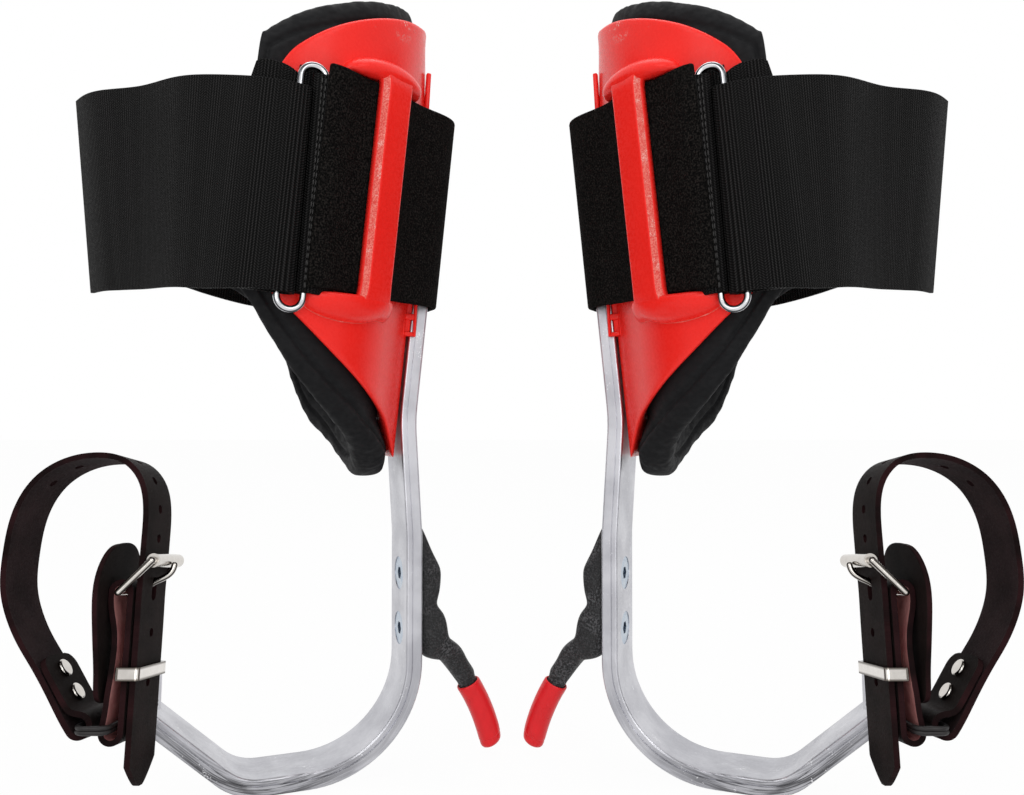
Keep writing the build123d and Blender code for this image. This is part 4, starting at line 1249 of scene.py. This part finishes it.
stitch_step, above_foot, below_top = 3.0, 3.0, 2.0
stitch_rows = []
up = np.arange(loop_low + above_foot, loop_high - below_top, stitch_step)[:, None]
on_top = fold_middle + (fold_size + tape_thick / 2) * ring_out
for before_leg in (1.2, 2.8):
    in_line = on_top + (fold_back - before_leg) * ring_along
    middles = slanted(np.concatenate([in_line + 0 * up, up], 1))
    stitch_rows.append(stitches(middles, np.array((0, 0, 1.0)), np.array((*ring_out, 0.0))))
points, faces = joined(stitch_rows)
make_pair("ring_loop_stitches", from_cuff(points), faces, "frame", None, [thread])

# %% [markdown]
# ## Calf webbing
# One length of wide webbing starts at the far end of the belt, goes round the front of the leg,
# folds round the ring and lies back on itself to a free end. It is the same sheet as the belt, with
# an upper and a lower edge that rise and fall along the way. Beside the ring the inner layer's top
# tucks down behind the outer one. Farther from the cuff the webbing also leans back, because it
# stands upright while the cuff leans.

# %% Webbing sheet
webbing_thick, fold_radius = 2.2, 3.7
ring_leg_two = np.array((-1.724, -68.318))
end_shift, end_lean, lean_from, lean_over = 4.3, 0.185, 25.0, 50.0
tuck_top, tuck_from, tuck_in, tuck_end, tuck_out = 43.2, -18.6, 1.6, -46.0, 6.0
webbing_route = [  # x, y, lower edge, upper edge
    (11.8, 66.7, -33.5, 58.5), (-2.4, 67.7, -32.5, 59.5), (-20.0, 66.2, -30.5, 61.5),
    (-42.0, 61.7, -28.0, 64.5), (-66.0, 52.7, -31.0, 59.0), (-80.0, 44.0, -36.0, 52.5),
    (-84.0, 33.0, -39.0, 47.5), (-77.3, 15.4, -40.0, 46.0), (-58.3, -9.1, -40.5, 46.0),
    (-40.9, -40.0, -42.0, 46.6), (-26.6, -55.2, -42.8, 50.4), (-15.5, -63.4, -42.7, 51.4),
    (-5.7, -64.7, -42.7, 50.0)]
for turn, fold_top in ((90, 47.6), (45, 44.8), (0, 42.6), (-45, 41.7), (-90, 41.5)):
    turn = np.radians(turn)
    x, y = ring_leg_two + fold_radius * np.array((np.cos(turn), np.sin(turn)))
    webbing_route.append((x, y, -42.7, fold_top))
webbing_route += [
    (-6.7, -71.8, -42.7, 41.5), (-17.0, -68.0, -43.4, 42.0), (-28.5, -57.0, -43.8, 43.8),
    (-43.0, -41.5, -43.0, 45.2), (-60.5, -10.5, -42.0, 46.5), (-79.5, 14.0, -42.0, 47.1),
    (-86.5, 32.0, -42.0, 47.3)]
route = smooth_line(webbing_route, 1.6)
near_side = route[:, 1] < 0
before_ring = np.arange(len(route)) < np.argmax(np.where(near_side, route[:, 0], -1e6))
tucked = (np.clip((tuck_from - route[:, 0]) / tuck_in, 0, 1)
          * np.clip((route[:, 0] - tuck_end) / tuck_out, 0, 1))
route[:, 3] += (tuck_top - route[:, 3]) * tucked * before_ring * near_side
web_grid, web_uv = sheet(route[:, :2], route[:, 2:3], route[:, 3:], 2.2, levels=False)
fold_share = np.clip((web_grid[..., 0] - ring_leg_two[0]) / fold_radius, 0, 1)
web_grid[..., 0] += fold_share * slant_at(web_grid)
lean_share = np.clip((-web_grid[..., 0] - lean_from) / lean_over, 0, 1)
web_grid[..., 0] += lean_share * (end_shift - end_lean * web_grid[..., 2])
pair = make_pair("webbing_strap", from_cuff(web_grid), grid_faces(*web_grid.shape[:2]), "frame",
                 "calf_webbing", [webbing], web_uv)
thicken(pair, webbing_thick, 0.6)

# %% [markdown]
# ## Leather foot strap
# The strap is one flat piece of leather. It is first cut out flat, with a pointed tail, a rounded
# lap end, punched holes and a slot for the buckle's tongue, and then bent along its route: lap, eye
# on the link, up over the foot, down through the buckle. Cutting it flat keeps the holes round.

# %% Cutting leather flat
rim_catch = 0.4


def punch(flat, faces, holes):
    """Drops quads whose middle is inside a hole and draws the points near its rim onto the rim.
    A hole is a centre along and across, a radius and a half length along."""
    middle = flat[faces].mean(1)
    keep = np.ones(len(faces), bool)
    moved = flat.copy()
    for along, across, radius, half in holes:
        inside = np.clip(middle[:, 0] - along, -half, half)
        keep &= np.hypot(middle[:, 0] - along - inside, middle[:, 1] - across) > radius
        core = np.clip(flat[:, 0] - along, -half, half)
        out = np.stack([flat[:, 0] - along - core, flat[:, 1] - across], -1)
        reach = np.linalg.norm(out, axis=1)
        near = reach < radius + rim_catch
        to_rim = out * (radius / np.maximum(reach, 1e-6))[:, None]
        rim = np.stack([along + core, across + 0 * core], -1) + to_rim
        moved[near] = rim[near]
    used, faces = np.unique(faces[keep], return_inverse=True)
    return moved[used], faces.reshape(-1, 4)


def bend_flat(flat, line):
    """A flat point goes to its distance along the line in x and y, and keeps its place across."""
    run = line_length(line)
    x, y = (np.interp(flat[:, 0], run, column) for column in line.T)
    return np.stack([x, y, flat[:, 1]], -1)


def flat_grid(length, half_width, along_step, columns):
    """Rows along the strap whose half width may change, from edge to edge."""
    along = np.linspace(0, length, int(length / along_step) + 1)
    across = np.linspace(-1, 1, columns)
    half = half_width(along)[:, None]
    flat = np.stack([along[:, None] + 0 * across, half * across], -1)
    return flat.reshape(-1, 2), grid_faces(len(along), columns)


def nearest(line, x, y, after=0.0):
    """Distance along a line at which it passes closest to a point."""
    run = line_length(line)
    gap = np.hypot(line[:, 0] - x, line[:, 1] - y) + np.where(run < after, 1e6, 0)
    return run[np.argmin(gap)]


print("leather tools ready")

# %% Foot strap
strap_thick, strap_half, tail_line = 2.3, 12.5, 1.9
tail_tip, tail_point, nose_half, nose_power = -78.0, 9.0, 1.6, 0.8
lap_length, lap_corner = 31.0, 6.0
eye = np.array((-18.2, -53.7))
eye_radius = 4.3
turn_point = np.array((-38.0, -31.0))
reach = np.linalg.norm(eye - turn_point)
tangent = np.sqrt(reach ** 2 - eye_radius ** 2)
heading = np.arctan2(*(eye - turn_point)[::-1]) - np.arctan2(eye_radius, tangent)
down = np.array((np.cos(heading), np.sin(heading)))
up_side = np.array((-down[1], down[0]))
start = eye - eye_radius * up_side
lap_route = (lap_length, 3.2), (22, 3.2), (13, 3.2), (9.5, 3.3), (7.0, 3.8), (5.0, 5.2)
lap_points = [start - before * down + above * up_side for before, above in lap_route]
eye_points = [eye + eye_radius * (np.cos(a) * down + np.sin(a) * up_side)
              for a in np.radians((136, 95, 50, 5, -40, -75))]
over_foot = [
    start - 14 * down, turn_point, (-44.3, -22.0), (-49.2, -13.0), (-53.0, -1.0), (-53.4, 12.0),
    (-50.2, 32.0), (-43.5, 43.0), (-33.0, 50.0), (-20.0, 52.6), (-8.0, 50.2), (-1.0, 42.8),
    (2.1, 31.0), (2.3, 18.0), (2.1, 6.0), (tail_line, 0.0), (tail_line, -12.0), (tail_line, -34.0),
    (tail_line, -56.0), (tail_line, tail_tip)]
strap_line = smooth_line(lap_points + eye_points + [start] + over_foot, 0.5)
strap_length = line_length(strap_line)[-1]


def strap_width(along):
    """Half width: a quarter circle at the lap's end, a point with a blunt nose at the tail."""
    corner = np.clip(lap_corner - along, 0, lap_corner)
    lap_half = strap_half - lap_corner + np.sqrt(lap_corner ** 2 - corner ** 2)
    to_tip = np.clip((strap_length - along) / tail_point, 0, 1)
    tail_half = nose_half + to_tip ** nose_power * (strap_half - nose_half)
    return np.minimum(lap_half, tail_half)


hole_radius, slot_radius, slot_half, past_eye = 1.8, 2.2, 2.6, 60.0
hole_places = [(2.3, 18.9), (2.1, 31.0), (-1.0, 42.8), (-8.0, 50.2), (-33.0, 50.0), (-43.5, 43.0),
               (tail_line, -18.8), (tail_line, -38.5)]
holes = [(nearest(strap_line, x, y, past_eye), 0.0, hole_radius, 0.0) for x, y in hole_places]
holes.append((nearest(strap_line, tail_line, -1.6, past_eye), 0.0, slot_radius, slot_half))
flat, faces = punch(*flat_grid(strap_length, strap_width, 0.65, 39), holes)
pair = make_pair("foot_strap_leather", from_strap(bend_flat(flat, strap_line)), faces[:, ::-1],
                 "strap", "foot_strap", [grain_side, flesh_side, cut_edge],
                 flat * MM)
thicken(pair, strap_thick, 0.45, back=1, rim=2)
print("strap length", round(strap_length, 1), "mm")

# %% Buckle strap
buckle_middle, buckle_layer, buckle_gap = -5.4, 2.4, 5.2
bar_y, foot_y = -2.5, -56.4
tongue_shift, tongue_radius, tongue_half = 1.4, 2.7, 6.0
layer_radius = (buckle_gap + buckle_layer) / 2


def racetrack(middle, low, high, radius):
    """Up the left side, half a turn over the top, down the right side, half a turn back."""
    over = np.linspace(np.pi, 0, 25)[1:-1]
    top = np.stack([middle + radius * np.cos(over), high + radius * np.sin(over)], -1)
    under = np.linspace(0, -np.pi, 25)
    foot = np.stack([middle + radius * np.cos(under), low + radius * np.sin(under)], -1)
    sides = np.linspace(low, high, 60)
    left = np.stack([middle - radius + 0 * sides, sides], -1)
    right = np.stack([middle + radius + 0 * sides, sides[::-1]], -1)
    return np.concatenate([left, top, right, foot])


buckle_line = racetrack(buckle_middle, foot_y, bar_y, layer_radius)
swell_at = np.array([(-56.0, 0.0), (-50.0, 0.9), (-42.0, 1.5), (-36.0, 2.1), (-30.0, 2.55),
                     (-20.0, 2.6), (-13.0, 1.4), (-8.0, 0.3), (-5.0, 0.0)])
swell = spline(swell_at[:, 0], swell_at[:, 1], np.clip(buckle_line[:, 1], *swell_at[[0, -1], 0]))
buckle_line[:, 0] += swell * (buckle_line[:, 0] < buckle_middle)
buckle_length = line_length(buckle_line)[-1]
slot_at = nearest(buckle_line, buckle_middle, bar_y + layer_radius) + tongue_shift
cut = flat_grid(buckle_length, lambda along: strap_half + 0 * along, 0.8, 27)
flat, faces = punch(*cut, [(slot_at, 0.0, tongue_radius, tongue_half)])
points, faces, uv = weld(bend_flat(flat, buckle_line), faces[:, ::-1], flat * MM)
pair = make_pair("buckle_strap_leather", from_strap(points), faces, "strap", "buckle_strap",
                 [grain_side, suede_side, cut_edge], uv)
thicken(pair, buckle_layer, 0.4, back=1, rim=2)

# %% Shield behind the buckle strap
shield_x, shield_thick, shield_dish = -11.8, 2.3, 0.4
outline = np.array([
    (0.0, 17.0), (6.5, 16.0), (11.5, 13.6), (17.0, 8.4), (20.2, 2.0), (20.8, -4.0), (19.2, -14.0),
    (16.5, -25.0), (14.0, -36.0), (11.5, -44.0), (6.0, -46.0), (0.0, -46.2), (-6.0, -45.6),
    (-11.0, -40.0), (-16.0, -28.0), (-20.0, -14.0), (-21.4, -2.0), (-19.6, 9.0), (-15.0, 15.0),
    (-8.0, 17.4), (0.0, 17.0)])
rim_line = smooth_line(outline, 1.2)[:-1]
rings = np.linspace(0, 1, 14)[:, None, None]
centre = np.array((0.0, -12.0))
disc = centre + rings * (rim_line - centre)
lean_out = shield_x - shield_dish * (rings[..., 0] ** 2 + 0 * disc[..., 0])
shield_grid = np.stack([lean_out, disc[..., 1], disc[..., 0]], -1)
points, faces, uv = weld(shield_grid.reshape(-1, 3),
                         grid_faces(*disc.shape[:2], wrap_columns=True), disc.reshape(-1, 2) * MM)
pair = make_pair("shield_leather", from_strap(points), faces, "strap", "foot_shield",
                 [grain_side, grain_side, cut_edge], uv)
thicken(pair, shield_thick, 0.5, rim=2)

# %% [markdown]
# ## Stage, light and camera
# The pair stands on a white floor in front of a white room. White comes from what the camera and
# the shiny pieces see, by ray type, and not from more light, so black cloth stays black. The floor
# keeps part of its own shading, which leaves a soft shadow under the stirrups.

# %% White floor and room
floor_reach, floor_level = 6.0, -0.0004
paper_glow, room_light = 0.965, 0.62


def seen_directly(tree):
    """One for a ray from the camera, off a shiny piece or through a clear one, otherwise none."""
    ray = add(tree, "LightPath").outputs
    seen = calc(tree, "MAXIMUM", ray["Is Camera Ray"], ray["Is Glossy Ray"])
    return calc(tree, "MAXIMUM", seen, ray["Is Transmission Ray"])


corners = [(x * floor_reach, y * floor_reach, floor_level)
           for x, y in ((-1, -1), (1, -1), (1, 1), (-1, 1))]
floor_mesh = bpy.data.meshes.new("floor")
floor_mesh.from_pydata(corners, [], [(0, 1, 2, 3)])
floor = bpy.data.objects.new("floor", floor_mesh)
bpy.context.scene.collection.objects.link(floor)
paper, tree, shader = finish("white_paper", rgb(236, 236, 236), 0.9)
speck = mottle(tree, place(tree), 6)
tone = mix(tree, speck["Patch"], rgba(234, 234, 234), rgba(240, 240, 240))
tree.links.new(tone, shader["Base Color"])
glow = add(tree, "Emission", {"Color": (1, 1, 1, 1), "Strength": 1.0}).outputs[0]
seen = calc(tree, "MULTIPLY", seen_directly(tree), paper_glow)
blend = add(tree, "MixShader", {0: seen, 1: tree.nodes["Principled BSDF"].outputs[0], 2: glow})
tree.links.new(blend.outputs[0], tree.nodes["Material Output"].inputs["Surface"])
floor_mesh.materials.append(paper)

world = bpy.data.worlds.new("white_room")
bpy.context.scene.world = world
world.use_nodes = True
tree = world.node_tree
strength = calc(tree, "MULTIPLY", seen_directly(tree), 1 - room_light)
strength = calc(tree, "ADD", strength, room_light)
tree.nodes["Background"].inputs["Color"].default_value = (1, 1, 1, 1)
tree.links.new(strength, tree.nodes["Background"].inputs["Strength"])
print("stage", floor.name, world.name)

# %% Lamps
lamp_aim = Vector((0, 0, 0.2))


def lamp(name, place_at, size, power):
    """Square area lamp at a place, turned so that its own -z looks at the aim."""
    light = bpy.data.lights.new(name, "AREA")
    light.size, light.energy = size, power
    item = bpy.data.objects.new(name, light)
    item.location = place_at
    item.rotation_euler = (lamp_aim - Vector(place_at)).to_track_quat("-Z", "Y").to_euler()
    bpy.context.scene.collection.objects.link(item)


for side, sign in (("left", -1), ("right", 1)):
    lamp(f"{side}_key", (0.9 * sign, -1.3, 1.2), 0.8, 4.8)
lamp("fill", (0, -1.7, 0.1), 1.0, 6.0)
lamp("top", (0, 0.1, 1.4), 0.9, 5.0)
print("lamps", [light.name for light in bpy.data.lights])

# %% Camera where the photograph was taken from
view = bpy.data.cameras.new("view")
view.lens, view.sensor_width = 32.34, 36.0
camera = bpy.data.objects.new("view", view)
camera.location = (0, -0.432, 0.1724)
camera.rotation_euler = (np.radians(91.09), 0, 0)
bpy.context.scene.collection.objects.link(camera)
bpy.context.scene.camera = camera
bpy.context.scene.view_settings.view_transform = "Standard"
print("camera", view.lens, "mm lens at", tuple(camera.location))

# %% End of the scene
print("scene built")
